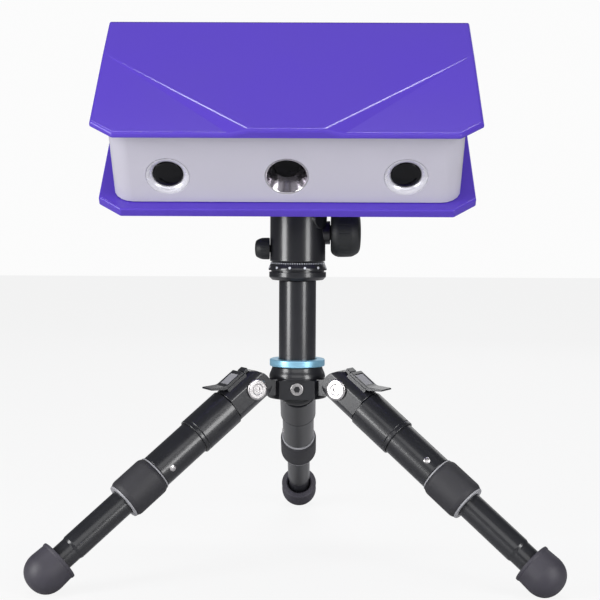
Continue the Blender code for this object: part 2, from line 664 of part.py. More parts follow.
def make_platform(parent):
    """Round platform under the scanner, on the axis of the ball's stem."""
    top = UNDERSIDE_DISTANCE - GAP
    low = top - PLATFORM_THICKNESS
    stem_bore = STEM_RADIUS + GAP
    stem_top = low + STEM_SINK + GAP
    stud_bore = STUD_RADIUS + GAP
    stud_floor = top - STUD_SINK - GAP
    edge = PLATFORM_EDGE
    profile = [(0, stem_top), (stem_bore, stem_top), (stem_bore, low),
               (PLATFORM_RADIUS - edge, low), (PLATFORM_RADIUS, low + edge),
               (PLATFORM_RADIUS, top - edge), (PLATFORM_RADIUS - edge, top),
               (stud_bore, top), (stud_bore, stud_floor), (0, stud_floor)]
    piece("camera_platform", turned(profile, SEGMENTS_LARGE), "black_anodised", parent)
    piece("platform_stud", rod(STUD_RADIUS, top - STUD_SINK,
                               UNDERSIDE_DISTANCE + STUD_REACH, SEGMENTS_SMALL),
          "screw_steel", parent)


def make_ball(parent):
    platform_low = UNDERSIDE_DISTANCE - GAP - PLATFORM_THICKNESS
    stem_angle = math.asin(STEM_RADIUS / BALL_RADIUS)
    ball = [(BALL_RADIUS * math.cos(turn), BALL_RADIUS * math.sin(turn))
            for turn in [-math.pi / 2 + (math.pi - stem_angle) * step / 12
                         for step in range(13)]]
    ball[0] = (0.0, -BALL_RADIUS)
    profile = ball + [(STEM_RADIUS, platform_low + STEM_SINK),
                      (0, platform_low + STEM_SINK)]
    piece("ball_stem", turned(profile, SEGMENTS_LARGE), "ball_steel", parent)


def make_head(parent):
    """Round body of the ball head with its knobs' holes."""
    seam = HEAD_BOTTOM - BALL_HEIGHT
    rim = HEAD_WALL_TOP
    bore = BALL_RADIUS + GAP
    mouth = math.sqrt(bore ** 2 - rim ** 2)
    cup_room = CUP_TOP - CUP_HEIGHT - 2 * GAP - BALL_HEIGHT
    post_room = PIVOT_POST_HEIGHT + 2 * GAP + seam
    wrap = [(bore * math.cos(turn), bore * math.sin(turn))
            for turn in [math.asin(rim / bore) * (1 - step / 3) for step in range(4)]]
    profile = [(0, cup_room), (bore, cup_room)] + wrap[::-1][:-1]
    profile += [(mouth, rim), (HEAD_RADIUS - HEAD_EDGE, rim),
                (HEAD_RADIUS, rim - HEAD_EDGE), (HEAD_RADIUS, seam),
                (PIVOT_POST_RADIUS + GAP, seam), (PIVOT_POST_RADIUS + GAP, post_room),
                (0, post_room)]
    head = piece("ball_head_body", turned(profile, SEGMENTS_LARGE), "black_anodised",
                 parent)
    lock = Matrix.Translation((0, 0, LOCK_HEIGHT - BALL_HEIGHT)) @ ALONG_X
    carve(head, rod(LOCK_SHAFT_RADIUS + GAP, LOCK_SHAFT_START - GAP,
                    HEAD_RADIUS + OVERCUT, SEGMENTS_SMALL, lock))
    pan = Matrix.Translation((0, 0, PAN_KNOB_HEIGHT - BALL_HEIGHT))
    pan = pan @ Matrix.Rotation(math.pi, 4, "Z") @ ALONG_X
    carve(head, rod(PAN_SHAFT_RADIUS + GAP, PIVOT_POST_RADIUS, HEAD_RADIUS + OVERCUT,
                    SEGMENTS_SMALL, pan))


def make_cup(parent):
    """Cup that the lock knob presses up against the ball."""
    radius = BALL_RADIUS - GAP
    top = CUP_TOP - BALL_HEIGHT
    low = top - CUP_HEIGHT
    dish = BALL_RADIUS + GAP
    edge = math.sqrt(dish ** 2 - top ** 2)
    bottom_angle = -math.pi / 2
    edge_angle = math.atan2(top, edge)
    bowl = [(dish * math.cos(turn), dish * math.sin(turn))
            for turn in [bottom_angle + (edge_angle - bottom_angle) * step / 5
                         for step in range(6)]]
    bowl[0] = (0.0, -dish)
    profile = [(0, low), (radius, low), (radius, top)] + bowl[::-1]
    piece("pressure_cup", turned(profile, SEGMENTS_LARGE), "black_plastic", parent)


def rounded_end(radius, end, dome):
    """Half an ellipse that closes a knob, from its side to its middle."""
    turns = [math.pi / 2 * step / 4 for step in range(5)]
    points = [(radius * math.cos(turn), end - dome + dome * math.sin(turn))
              for turn in turns]
    points[-1] = (0.0, end)
    return points


def make_lock_knob(parent):
    outer = LOCK_KNOB_RADIUS
    start = LOCK_KNOB_START
    end = start + LOCK_KNOB_LENGTH
    neck = LOCK_SHAFT_RADIUS
    profile = [(0, LOCK_SHAFT_START), (neck, LOCK_SHAFT_START), (neck, start),
               (outer - LOCK_KNOB_BACK_EDGE, start), (outer, start + LOCK_KNOB_BACK_EDGE)]
    profile += rounded_end(outer, end, LOCK_KNOB_DOME)
    piece("lock_knob", turned(profile, SEGMENTS_LARGE, ALONG_X), "rubber_black", parent)


def make_pan_knob(parent):
    outer = PAN_KNOB_RADIUS
    start = HEAD_RADIUS + GAP
    end = start + PAN_KNOB_LENGTH
    tip = PIVOT_POST_RADIUS + 2 * GAP
    profile = [(0, tip), (PAN_SHAFT_RADIUS, tip), (PAN_SHAFT_RADIUS, start),
               (outer, start)] + rounded_end(outer, end, PAN_KNOB_DOME)
    piece("pan_knob", turned(profile, SEGMENTS_LEG, ALONG_X), "rubber_black", parent)


def make_pan_base(parent):
    groove_low = BASE_BOTTOM + BASE_FLANGE_HEIGHT
    groove_high = groove_low + BASE_GROOVE
    groove_radius = BASE_FLANGE_RADIUS - BASE_GROOVE_DEPTH
    bore = COLUMN_STUD_RADIUS + GAP
    bore_top = BASE_BOTTOM + COLUMN_STUD_LENGTH + GAP
    profile = [(0, bore_top), (bore, bore_top), (bore, BASE_BOTTOM),
               (BASE_FLANGE_RADIUS - BASE_CHAMFER, BASE_BOTTOM),
               (BASE_FLANGE_RADIUS, BASE_BOTTOM + BASE_CHAMFER),
               (BASE_FLANGE_RADIUS, groove_low), (groove_radius, groove_low),
               (groove_radius, groove_high), (BASE_RADIUS, groove_high),
               (BASE_RADIUS, BASE_TOP - SMALL_EDGE), (BASE_RADIUS - SMALL_EDGE, BASE_TOP),
               (PIVOT_POST_RADIUS, BASE_TOP), (PIVOT_POST_RADIUS, BASE_TOP + PIVOT_POST_HEIGHT),
               (0, BASE_TOP + PIVOT_POST_HEIGHT)]
    piece("pan_base", turned(profile, SEGMENTS_LARGE), "black_anodised", parent)


# --------------------------------------------------------------- column and hub

def make_column(parent):
    bore = COLUMN_BORE_RADIUS
    roof = COLUMN_TOP - COLUMN_ROOF
    stud_top = COLUMN_TOP + COLUMN_STUD_LENGTH
    profile = [(0, roof), (bore, roof), (bore, COLUMN_BOTTOM), (COLUMN_RADIUS, COLUMN_BOTTOM),
               (COLUMN_RADIUS, COLUMN_TOP), (COLUMN_STUD_RADIUS, COLUMN_TOP),
               (COLUMN_STUD_RADIUS, stud_top), (0, stud_top)]
    piece("column", turned(profile, SEGMENTS_LARGE), "black_anodised", parent)


def make_collar(parent):
    inner = COLUMN_RADIUS + GAP
    top = COLLAR_BOTTOM + COLLAR_HEIGHT
    profile = [(inner, COLLAR_BOTTOM), (COLLAR_RADIUS, COLLAR_BOTTOM),
               (COLLAR_RADIUS, top - SMALL_EDGE), (COLLAR_RADIUS - SMALL_EDGE, top),
               (inner, top)]
    piece("blue_collar", turned(profile, SEGMENTS_LARGE, closed=True), "blue_anodised",
          parent)


def lug_outline():
    """Side view of one lug, from the hub's middle out to the leg's pivot."""
    tooth = NOSE_ANGLE + STOP_GAP_ANGLE
    tooth_end = tooth + math.radians(38.0)
    inner = HUB_FLAT_DISTANCE - PIVOT_REACH
    top_turn = math.pi - math.asin(LUG_TOP / EYE_RADIUS)
    low_turn = -math.pi + math.asin(-LUG_BOTTOM / EYE_RADIUS)
    outline = [(inner, LUG_BOTTOM)]
    outline += arc((0, 0), EYE_RADIUS, low_turn, tooth, 16)
    outline += arc((0, 0), STOP_RADIUS, tooth, min(tooth_end, top_turn), 4)
    outline += [(STOP_RADIUS * math.cos(top_turn), LUG_TOP), (inner, LUG_TOP)]
    return outline


def make_hub(parent):
    """Bell-shaped hub with three flats and three lugs for the legs."""
    low = PIVOT_HEIGHT + HUB_BOTTOM
    ledge = PIVOT_HEIGHT + HUB_LEDGE
    waist = PIVOT_HEIGHT + BELL_BOTTOM
    top = PIVOT_HEIGHT + BELL_TOP
    bore = COLUMN_RADIUS + GAP
    small_bore = PLUG_SPIGOT_RADIUS + GAP
    profile = [(bore, top), (bore, ledge), (small_bore, ledge), (small_bore, low),
               (HUB_BLOCK_RADIUS, low), (HUB_BLOCK_RADIUS, waist), (BELL_RADIUS, waist),
               (BELL_RADIUS, waist + BELL_SKIRT), (BELL_TOP_RADIUS, top)]
    hub = piece("hub", turned(profile, SEGMENTS_LARGE, closed=True), "black_anodised",
                parent)
    flat = HUB_FLAT_DISTANCE
    reach = HUB_BLOCK_RADIUS + OVERCUT
    for azimuth in LEG_AZIMUTHS.values():
        slab = box((flat, reach), (-reach, reach), (low - OVERCUT, waist))
        turn = Matrix.Rotation(math.radians(azimuth + 180), 4, "Z")
        bmesh.ops.transform(slab, matrix=turn, verts=slab.verts[:])
        carve(hub, slab)
    for azimuth in LEG_AZIMUTHS.values():
        upright = Matrix.Rotation(math.radians(90), 4, "X")
        place = Matrix.Rotation(math.radians(azimuth), 4, "Z")
        place = place @ Matrix.Translation((PIVOT_REACH, 0, PIVOT_HEIGHT)) @ upright
        carve(hub, prism(lug_outline(), -EYE_HALF_WIDTH, EYE_HALF_WIDTH, place), "UNION")
        carve(hub, rod(PIVOT_BOLT_RADIUS + GAP, -EAR_FACE, EAR_FACE, SEGMENTS_SMALL, place))
    screw = Matrix.Translation((0, -flat, PIVOT_HEIGHT + SET_SCREW_HEIGHT))
    screw = screw @ ALONG_Y
    carve(hub, rod(SET_SCREW_RADIUS + GAP, -OVERCUT, flat - COLUMN_RADIUS, SEGMENTS_SMALL,
                   screw))


def make_set_screw(parent):
    """Clamps the column; it has a hexagon socket in its head."""
    place = Matrix.Translation((0, -HUB_FLAT_DISTANCE, PIVOT_HEIGHT + SET_SCREW_HEIGHT))
    place = place @ ALONG_Y
    tip = HUB_FLAT_DISTANCE - COLUMN_RADIUS - GAP
    profile = [(0, -SET_SCREW_HEAD - GAP), (SET_SCREW_HEAD_RADIUS, -SET_SCREW_HEAD - GAP),
               (SET_SCREW_HEAD_RADIUS, -GAP), (SET_SCREW_RADIUS, -GAP),
               (SET_SCREW_RADIUS, tip), (0, tip)]
    screw = piece("hub_set_screw", turned(profile, SEGMENTS_LEG, place), "screw_steel",
                  parent)
    carve(screw, rod(SET_SCREW_SOCKET, -SET_SCREW_HEAD - OVERCUT, tip / 3, 6, place))


def make_plug(parent):
    low = PIVOT_HEIGHT + HUB_BOTTOM - GAP
    profile = [(0, low - PLUG_HEIGHT), (PLUG_RADIUS - PLUG_EDGE, low - PLUG_HEIGHT),
               (PLUG_RADIUS, low - PLUG_HEIGHT + PLUG_EDGE), (PLUG_RADIUS, low),
               (PLUG_SPIGOT_RADIUS, low), (PLUG_SPIGOT_RADIUS, low + PLUG_SPIGOT_HEIGHT),
               (0, low + PLUG_SPIGOT_HEIGHT)]
    piece("hub_plug", turned(profile, SEGMENTS_LEG), "rubber_black", parent)


# ------------------------------------------------------------------------- legs

def make_leg_head(side, leg):
    """Forked head of a leg; its fork straddles the hub's lug."""
    head = piece("leg_head_" + side,
                 rod(LEG_HEAD_RADIUS, -HEAD_END_RADIUS, LEG_HEAD_LENGTH, SEGMENTS_LEG,
                     ALONG_X), "black_anodised", leg)
    reach = LEG_HEAD_RADIUS + OVERCUT
    outline = [(LEG_HEAD_LENGTH + OVERCUT, -reach), (LEG_HEAD_LENGTH + OVERCUT, reach),
               (0.0, reach)]
    outline += arc((0, 0), HEAD_END_RADIUS, math.pi / 2, math.pi * 1.5, 12)
    outline += [(0.0, -reach)]
    upright = Matrix.Rotation(math.radians(90), 4, "X")
    carve(head, prism(outline, -EAR_FACE, EAR_FACE, upright), "INTERSECT")
    carve(head, box((TAB_RAIL_START, TAB_RAIL_END),
                    (-TAB_RAIL_HALF_WIDTH, TAB_RAIL_HALF_WIDTH),
                    (EYE_RADIUS, TAB_SEAT)), "UNION")
    fork = EYE_HALF_WIDTH + GAP
    carve(head, box((-reach, FORK_DEPTH), (-fork, fork), (-reach, reach)))
    carve(head, rod(PIVOT_BOLT_RADIUS + GAP, -reach, reach, SEGMENTS_SMALL, upright))
    carve(head, rod(SPIGOT_RADIUS + GAP, SPIGOT_START - GAP, LEG_HEAD_LENGTH + OVERCUT,
                    SEGMENTS_LEG, ALONG_X))


def make_pivot_bolt(side, leg):
    upright = Matrix.Rotation(math.radians(90), 4, "X")
    face = EAR_FACE + GAP
    end = face + PIVOT_HEAD_THICKNESS
    edge = SMALL_EDGE
    profile = [(0, -end), (PIVOT_HEAD_RADIUS - edge, -end), (PIVOT_HEAD_RADIUS, -end + edge),
               (PIVOT_HEAD_RADIUS, -face), (PIVOT_BOLT_RADIUS, -face),
               (PIVOT_BOLT_RADIUS, face), (PIVOT_HEAD_RADIUS, face),
               (PIVOT_HEAD_RADIUS, end - edge), (PIVOT_HEAD_RADIUS - edge, end), (0, end)]
    piece("pivot_bolt_" + side, turned(profile, SEGMENTS_LEG, upright), "screw_steel", leg)


def make_angle_tab(side, leg):
    """Pull tab on top of the head; its nose bears on the lug's stop."""
    low = TAB_SEAT + GAP
    high = low + TAB_THICKNESS
    turn = NOSE_ANGLE + LEG_SLOPE
    lean = 1 / math.tan(turn)
    nose_low = EYE_RADIUS + GAP
    nose_top = low + TAB_THICKNESS / 2
    toe = (nose_low * lean, nose_low)
    heel = (nose_top * lean, nose_top)
    back = heel[0] - GAP
    lip = TAB_LIP_THICKNESS
    outline = [(back, low), (back, high), (TAB_END - lip, high),
               (TAB_END + TAB_LIP_RUN, high + TAB_LIP_RISE),
               (TAB_END + TAB_LIP_RUN + lip, high + TAB_LIP_RISE - lip),
               (TAB_END + lip, low)]
    upright = Matrix.Rotation(math.radians(90), 4, "X")
    tab = piece("angle_tab_" + side, prism(outline, -TAB_HALF_WIDTH, TAB_HALF_WIDTH,
                                           upright), "black_anodised", leg, smooth=False)
    nose = [toe, (toe[0] + TAB_NOSE_LENGTH, toe[1]),
            (heel[0] + TAB_NOSE_LENGTH, heel[1]), heel]
    carve(tab, prism(nose, -TAB_NOSE_HALF_WIDTH, TAB_NOSE_HALF_WIDTH, upright), "UNION")


def make_sleeve(side, leg):
    inner = TUBE_RADIUS + GAP
    outer = inner + SLEEVE_WALL
    start = LEG_HEAD_LENGTH + SLEEVE_GROOVE
    edge = SMALL_EDGE
    profile = [(inner, start), (outer - edge, start), (outer, start + edge),
               (outer, SLEEVE_END - edge), (outer - edge, SLEEVE_END),
               (inner, SLEEVE_END)]
    piece("sleeve_" + side, turned(profile, SEGMENTS_LEG, ALONG_X, closed=True),
          "black_anodised", leg)


def make_upper_tube(side, leg):
    """Upper tube: a spigot in the head, a threaded nose inside the lock."""
    inner = TUBE_RADIUS - TUBE_WALL
    shoulder = LEG_HEAD_LENGTH + GAP
    nose_start = LOCK_START - GAP
    nose_end = LOCK_END - TUBE_WALL * 2
    nose_inner = LOWER_TUBE_RADIUS + GAP
    profile = [(SPIGOT_RADIUS - TUBE_WALL, SPIGOT_START), (SPIGOT_RADIUS, SPIGOT_START),
               (SPIGOT_RADIUS, shoulder), (TUBE_RADIUS, shoulder),
               (TUBE_RADIUS, nose_start), (NOSE_RADIUS, nose_start),
               (NOSE_RADIUS, nose_end), (nose_inner, nose_end),
               (nose_inner, nose_start), (inner, nose_start - TUBE_WALL),
               (inner, shoulder + TUBE_WALL * 2),
               (SPIGOT_RADIUS - TUBE_WALL, shoulder + TUBE_WALL)]
    piece("upper_tube_" + side, turned(profile, SEGMENTS_LEG, ALONG_X, closed=True),
          "black_anodised", leg)


def make_twist_lock(side, leg):
    inner = NOSE_RADIUS + GAP
    nose_end = LOCK_END - TUBE_WALL * 2
    lip = LOWER_TUBE_RADIUS + GAP
    edge = LOCK_EDGE
    profile = [(inner, LOCK_START), (LOCK_GRIP_RADIUS - edge, LOCK_START),
               (LOCK_GRIP_RADIUS, LOCK_START + edge),
               (LOCK_GRIP_RADIUS, LOCK_END - edge),
               (LOCK_GRIP_RADIUS - edge, LOCK_END), (lip, LOCK_END),
               (lip, nose_end + GAP), (inner, nose_end + GAP)]
    piece("twist_lock_" + side, turned(profile, SEGMENTS_LEG, ALONG_X, closed=True),
          "grip_grey", leg)


def make_lower_tube(side, sliding):
    """Slides in the upper tube; its top is a wider guide."""
    nose_start = LOCK_START - GAP
    guide_end = nose_start - TUBE_WALL - 2 * GAP
    guide_start = guide_end - GUIDE_LENGTH
    guide = TUBE_RADIUS - TUBE_WALL - GAP
    end = FOOT_START + FOOT_SOCKET_DEPTH - GAP
    bore = LOWER_TUBE_RADIUS - LOWER_TUBE_WALL
    profile = [(bore, guide_start), (guide, guide_start), (guide, guide_end),
               (LOWER_TUBE_RADIUS, guide_end + GAP), (LOWER_TUBE_RADIUS, end), (bore, end)]
    piece("lower_tube_" + side, turned(profile, SEGMENTS_LEG, ALONG_X, closed=True),
          "black_anodised", sliding)


def make_foot(side, sliding):
    socket = LOWER_TUBE_RADIUS + GAP
    floor = FOOT_START + FOOT_SOCKET_DEPTH
    dome = [(FOOT_RADIUS * math.cos(turn), FOOT_CENTRE + FOOT_RADIUS * math.sin(turn))
            for turn in [math.pi / 2 * step / 6 for step in range(7)]]
    dome[-1] = (0.0, FOOT_CENTRE + FOOT_RADIUS)
    profile = [(0, floor), (socket, floor), (socket, FOOT_START),
               (FOOT_RADIUS - SMALL_EDGE, FOOT_START),
               (FOOT_RADIUS, FOOT_START + SMALL_EDGE)]
    foot = piece("foot_" + side, turned(profile + dome, SEGMENTS_LEG, ALONG_X),
                 "foot_rubber", sliding)
    depth = FOOT_CENTRE * math.sin(LEG_SLOPE) + FOOT_RADIUS - FOOT_FLAT
    level = Matrix.Rotation(-LEG_SLOPE, 4, "Y")
    slab = box((0, FOOT_CENTRE + 2 * FOOT_RADIUS), (-FOOT_RADIUS * 2, FOOT_RADIUS * 2),
               (-depth - FOOT_RADIUS, -depth))
    bmesh.ops.transform(slab, matrix=level, verts=slab.verts[:])
    carve(foot, slab)


def make_leg(side, azimuth, stand):
    place = Matrix.Rotation(math.radians(azimuth), 4, "Z")
    place = place @ Matrix.Translation((PIVOT_REACH, 0, PIVOT_HEIGHT))
    place = place @ Matrix.Rotation(LEG_SLOPE, 4, "Y")
    leg = frame("leg_pivot_" + side, stand, place)
    make_leg_head(side, leg)
    make_pivot_bolt(side, leg)
    make_sleeve(side, leg)
    make_upper_tube(side, leg)
    make_angle_tab(side, frame("tab_slide_" + side, leg, Matrix()))
    make_twist_lock(side, frame("lock_turn_" + side, leg, Matrix()))
    sliding = frame("leg_slide_" + side, leg, Matrix())
    make_lower_tube(side, sliding)
    make_foot(side, sliding)


# --------------------------------------------------------------------- assembly

def centre_on_floor(stand):
    """Move the stand so that the middle of its plan lies on the origin."""
    bpy.context.view_layer.update()
    depsgraph = bpy.context.evaluated_depsgraph_get()
    corners = []
    for item in bpy.context.scene.objects:
        if item.type == "MESH" and not item.hide_render:
            mesh = item.evaluated_get(depsgraph).data
            corners += [item.matrix_world @ vertex.co for vertex in mesh.vertices]
    middle_x = (min(p.x for p in corners) + max(p.x for p in corners)) / 2
    middle_y = (min(p.y for p in corners) + max(p.y for p in corners)) / 2
    stand.location = (-middle_x, -middle_y, 0.0)
    bpy.context.view_layer.update()


def make_scanner(parent):
    make_tray(parent)
    make_cover(parent)
    make_wall(parent)
    make_rear_panel(parent)
    make_sockets(parent)
    make_case_screws(parent)
    make_cameras(parent)
    make_projector(parent)
    make_rail(parent)
    make_board(parent)
    make_insert(parent)


def main():
    clear_scene()
    stand = frame("stand", None, Matrix())
    make_hub(stand)
    make_set_screw(stand)
    make_plug(stand)
    make_column(stand)
    make_collar(stand)
    make_pan_base(stand)
    for side, azimuth in LEG_AZIMUTHS.items():
        make_leg(side, azimuth, stand)
    pan = frame("pan_turn", stand, Matrix.Translation((0, 0, BALL_HEIGHT)))
    make_head(pan)
    make_cup(pan)
    make_lock_knob(frame("lock_knob_turn", pan, Matrix.Translation((0, 0, -LOCK_KNOB_DROP))))
    pan_knob_place = Matrix.Translation((0, 0, PAN_KNOB_HEIGHT - BALL_HEIGHT))
    pan_knob_place = pan_knob_place @ Matrix.Rotation(math.pi, 4, "Z")
    make_pan_knob(frame("pan_knob_turn", pan, pan_knob_place))
    ball = frame("ball_tilt", pan, Matrix.Rotation(TILT, 4, "X"))
    make_ball(ball)
    swivel = frame("scanner_swivel", ball, Matrix())
    make_platform(swivel)
    scanner = frame("scanner_case", swivel,
                    Matrix.Translation((MOUNT_OFFSET_X, 0, UNDERSIDE_DISTANCE)))
    make_scanner(scanner)
    centre_on_floor(stand)


main()
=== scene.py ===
"""Looks of a tripod-mounted structured-light scanner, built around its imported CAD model."""

import json
import math

import bmesh
import bpy
from mathutils import Matrix, Vector


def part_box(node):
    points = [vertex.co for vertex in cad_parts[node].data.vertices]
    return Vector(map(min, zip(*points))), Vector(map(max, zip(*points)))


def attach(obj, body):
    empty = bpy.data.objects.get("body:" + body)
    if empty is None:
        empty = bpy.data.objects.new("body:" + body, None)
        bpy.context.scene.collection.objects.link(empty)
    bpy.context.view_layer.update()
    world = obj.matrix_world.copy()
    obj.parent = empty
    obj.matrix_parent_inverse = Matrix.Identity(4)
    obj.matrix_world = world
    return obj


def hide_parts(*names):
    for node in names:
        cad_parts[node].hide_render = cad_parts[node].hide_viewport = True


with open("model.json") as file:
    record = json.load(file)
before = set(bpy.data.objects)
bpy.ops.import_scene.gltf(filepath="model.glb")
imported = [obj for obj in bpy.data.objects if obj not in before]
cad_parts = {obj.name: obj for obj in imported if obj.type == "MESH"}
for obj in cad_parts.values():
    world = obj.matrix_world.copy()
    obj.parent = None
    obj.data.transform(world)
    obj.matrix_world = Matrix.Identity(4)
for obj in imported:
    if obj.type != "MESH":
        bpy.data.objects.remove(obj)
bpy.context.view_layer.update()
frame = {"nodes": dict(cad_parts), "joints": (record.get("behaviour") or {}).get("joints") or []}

bl_info = {
    "name": "Tripod Scanner",
    "version": (1, 0, 0),
    "blender": (4, 5, 0),
    "location": "View3D > Sidebar > Scanner",
    "description": "Builds the finished pieces of a structured-light scanner on its mini tripod",
    "category": "Object",
}

MM = 0.001
GAP = 0.3 * MM                 # air that the CAD leaves between neighbours
OVERCUT = 1 * MM               # how far a cutter runs past the face it opens
PIVOT_BORE = 3.3 * MM          # radius of the hole for a leg's pivot bolt
SIDES = ("left", "right", "back")
UP = Vector((0, 0, 1))
ALONG_X = Matrix.Rotation(math.radians(90), 4, "Y")
ALONG_Y = Matrix.Rotation(math.radians(-90), 4, "X")
ROUND_STEPS = 96
SMALL_STEPS = 48


# ---------------------------------------------------------------- places in the frame

def joint(name):
    """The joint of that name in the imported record."""
    return next(entry for entry in frame["joints"] if entry["name"] == name)


def axes(origin, x_axis, z_axis):
    """Matrix of a local frame from its origin and two of its directions."""
    y_axis = z_axis.cross(x_axis)
    place = Matrix((x_axis, y_axis, z_axis)).transposed().to_4x4()
    place.translation = origin
    return place


def span(node, place, axis):
    """Lowest and highest reach of a CAD node along one axis (0, 1, 2) of a local frame."""
    inverse = place.inverted()
    reaches = [(inverse @ vertex.co)[axis] for vertex in frame["nodes"][node].data.vertices]
    return min(reaches), max(reaches)


def head_place():
    """Frame at the centre of the ball, upright."""
    return Matrix.Translation(Vector(joint("ball_tilt")["pos_m"]))


def scanner_place():
    """Frame in the middle of the tray's underside: x to the right, y to the back, z up."""
    ball = Vector(joint("ball_tilt")["pos_m"])
    stem = Vector(joint("scanner_swivel")["axis"]).normalized()
    low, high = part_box("bottom_tray")
    on_ball = axes(ball, Vector((1, 0, 0)), stem)
    underside = span("bottom_tray", on_ball, 2)[0]
    origin = ball + stem * underside
    origin.x = (low.x + high.x) / 2
    return axes(origin, Vector((1, 0, 0)), stem)


def leg_place(side):
    """Frame at a leg's pivot: x down the leg, y across it, z off its top."""
    pivot = Vector(joint("leg_fold_" + side)["pos_m"])
    along = -Vector(joint("leg_slide_" + side)["axis"]).normalized()
    outward = Vector((along.x, along.y, 0)).normalized()
    return axes(pivot, along, along.cross(UP.cross(outward)))


# ---------------------------------------------------------------- mesh helpers

def outline_edges(solid, points, closed):
    """A chain of edges through points (a, b, rounding), drawn in the XZ plane."""
    corners = [solid.verts.new((a, 0, b)) for a, b, _ in points]
    pairs = list(zip(corners, corners[1:]))
    if closed:
        pairs.append((corners[-1], corners[0]))
    for first, second in pairs:
        solid.edges.new((first, second))
    for corner, (_, _, rounding) in zip(corners, points):
        if rounding:
            bmesh.ops.bevel(solid, geom=[corner], offset=rounding, offset_type="OFFSET",
                            affect="VERTICES", segments=5, profile=0.5, material=-1)


def turned(points, steps=ROUND_STEPS, closed=False):
    """A closed solid of revolution about Z from a profile of (radius, height, rounding)."""
    solid = bmesh.new()
    outline_edges(solid, points, closed)
    bmesh.ops.spin(solid, geom=solid.verts[:] + solid.edges[:], cent=(0, 0, 0),
                   axis=(0, 0, 1), angle=math.tau, steps=steps, use_merge=True,
                   use_duplicate=False)
    clean(solid)
    return solid


def clean(solid):
    bmesh.ops.remove_doubles(solid, verts=solid.verts[:], dist=1e-6)
    bmesh.ops.dissolve_degenerate(solid, edges=solid.edges[:], dist=1e-7)
    bmesh.ops.recalc_face_normals(solid, faces=solid.faces[:])


def prism(points, low, high):
    """A closed solid from an outline of (x, y, rounding), raised from low to high."""
    solid = bmesh.new()
    outline_edges(solid, points, True)
    bmesh.ops.rotate(solid, verts=solid.verts[:], cent=(0, 0, 0),
                     matrix=Matrix.Rotation(math.radians(-90), 3, "X"))
    bmesh.ops.translate(solid, verts=solid.verts[:], vec=(0, 0, low))
    bmesh.ops.contextual_create(solid, geom=solid.edges[:])
    raised = bmesh.ops.extrude_face_region(solid, geom=solid.faces[:], use_keep_orig=True)
    top = [item for item in raised["geom"] if isinstance(item, bmesh.types.BMVert)]
    bmesh.ops.translate(solid, verts=top, vec=(0, 0, high - low))
    clean(solid)
    return solid


def block(x_range, y_range, z_range):
    """A box between those limits."""
    solid = bmesh.new()
    middle = [(low + high) / 2 for low, high in (x_range, y_range, z_range)]
    size = [high - low for low, high in (x_range, y_range, z_range)]
    place = Matrix.Translation(middle) @ Matrix.Diagonal((*size, 1))
    bmesh.ops.create_cube(solid, size=1, matrix=place)
    return solid


def rod(radius, low, high, steps=SMALL_STEPS, rounding=0):
    """A round bar along Z, or a hexagon when it has six steps."""
    return turned([(0, low, 0), (radius, low, 0), (radius, high, rounding), (0, high, 0)],
                  steps)


def shift(solid, place):
    bmesh.ops.transform(solid, matrix=place, verts=solid.verts[:])
    return solid


def merged(*solids):
    """Several separate shells in one mesh."""
    whole = solids[0]
    for other in solids[1:]:
        data = bpy.data.meshes.new("part")
        other.to_mesh(data)
        other.free()
        whole.from_mesh(data)
        bpy.data.meshes.remove(data)
    return whole


def bevel_edges(solid, edges, width, segments=4):
    bmesh.ops.bevel(solid, geom=edges, offset=width, offset_type="OFFSET", affect="EDGES",
                    segments=segments, profile=0.5, material=-1)


def sharp_edges(solid, angle):
    """Edges whose two faces meet at more than that angle."""
    limit = math.radians(angle)
    return [edge for edge in solid.edges
            if edge.is_manifold and edge.calc_face_angle(0) > limit]


def rims(solid, top):
    """The edges round a plate's upper face and round its lower face."""
    edges = [edge for edge in sharp_edges(solid, 50)
             if abs(edge.verts[0].co.z - edge.verts[1].co.z) < 4 * MM]
    lowest = min(vertex.co.z for vertex in solid.verts)
    level = (lowest + top) / 2 - 1.0 * MM
    upper = [edge for edge in edges if min(vertex.co.z for vertex in edge.verts) > level]
    lower = [edge for edge in edges if max(vertex.co.z for vertex in edge.verts) < level]
    return upper, lower


def temporary(solid):
    data = bpy.data.meshes.new("cutter")
    solid.to_mesh(data)
    solid.free()
    thing = bpy.data.objects.new("cutter", data)
    bpy.context.scene.collection.objects.link(thing)
    return thing


def combined(base, cutters, operation="DIFFERENCE"):
    """The base solid with each cutter taken out of it, or joined to it."""
    thing = temporary(base)
    tools = [temporary(cutter) for cutter in cutters]
    for tool in tools:
        change = thing.modifiers.new("cut", "BOOLEAN")
        change.operation = operation
        change.solver = "EXACT"
        change.object = tool
    bpy.context.view_layer.update()
    data = bpy.data.meshes.new_from_object(
        thing.evaluated_get(bpy.context.evaluated_depsgraph_get()))
    for extra in [thing] + tools:
        bpy.data.meshes.remove(extra.data)
    result = bmesh.new()
    result.from_mesh(data)
    bpy.data.meshes.remove(data)
    if not result.faces:
        raise RuntimeError("a cut left nothing of the solid")
    bmesh.ops.remove_doubles(result, verts=result.verts[:], dist=1e-6)
    bmesh.ops.dissolve_degenerate(result, edges=result.edges[:], dist=1e-7)
    bmesh.ops.dissolve_limit(result, angle_limit=math.radians(0.5),
                             verts=result.verts[:], edges=result.edges[:])
    return result


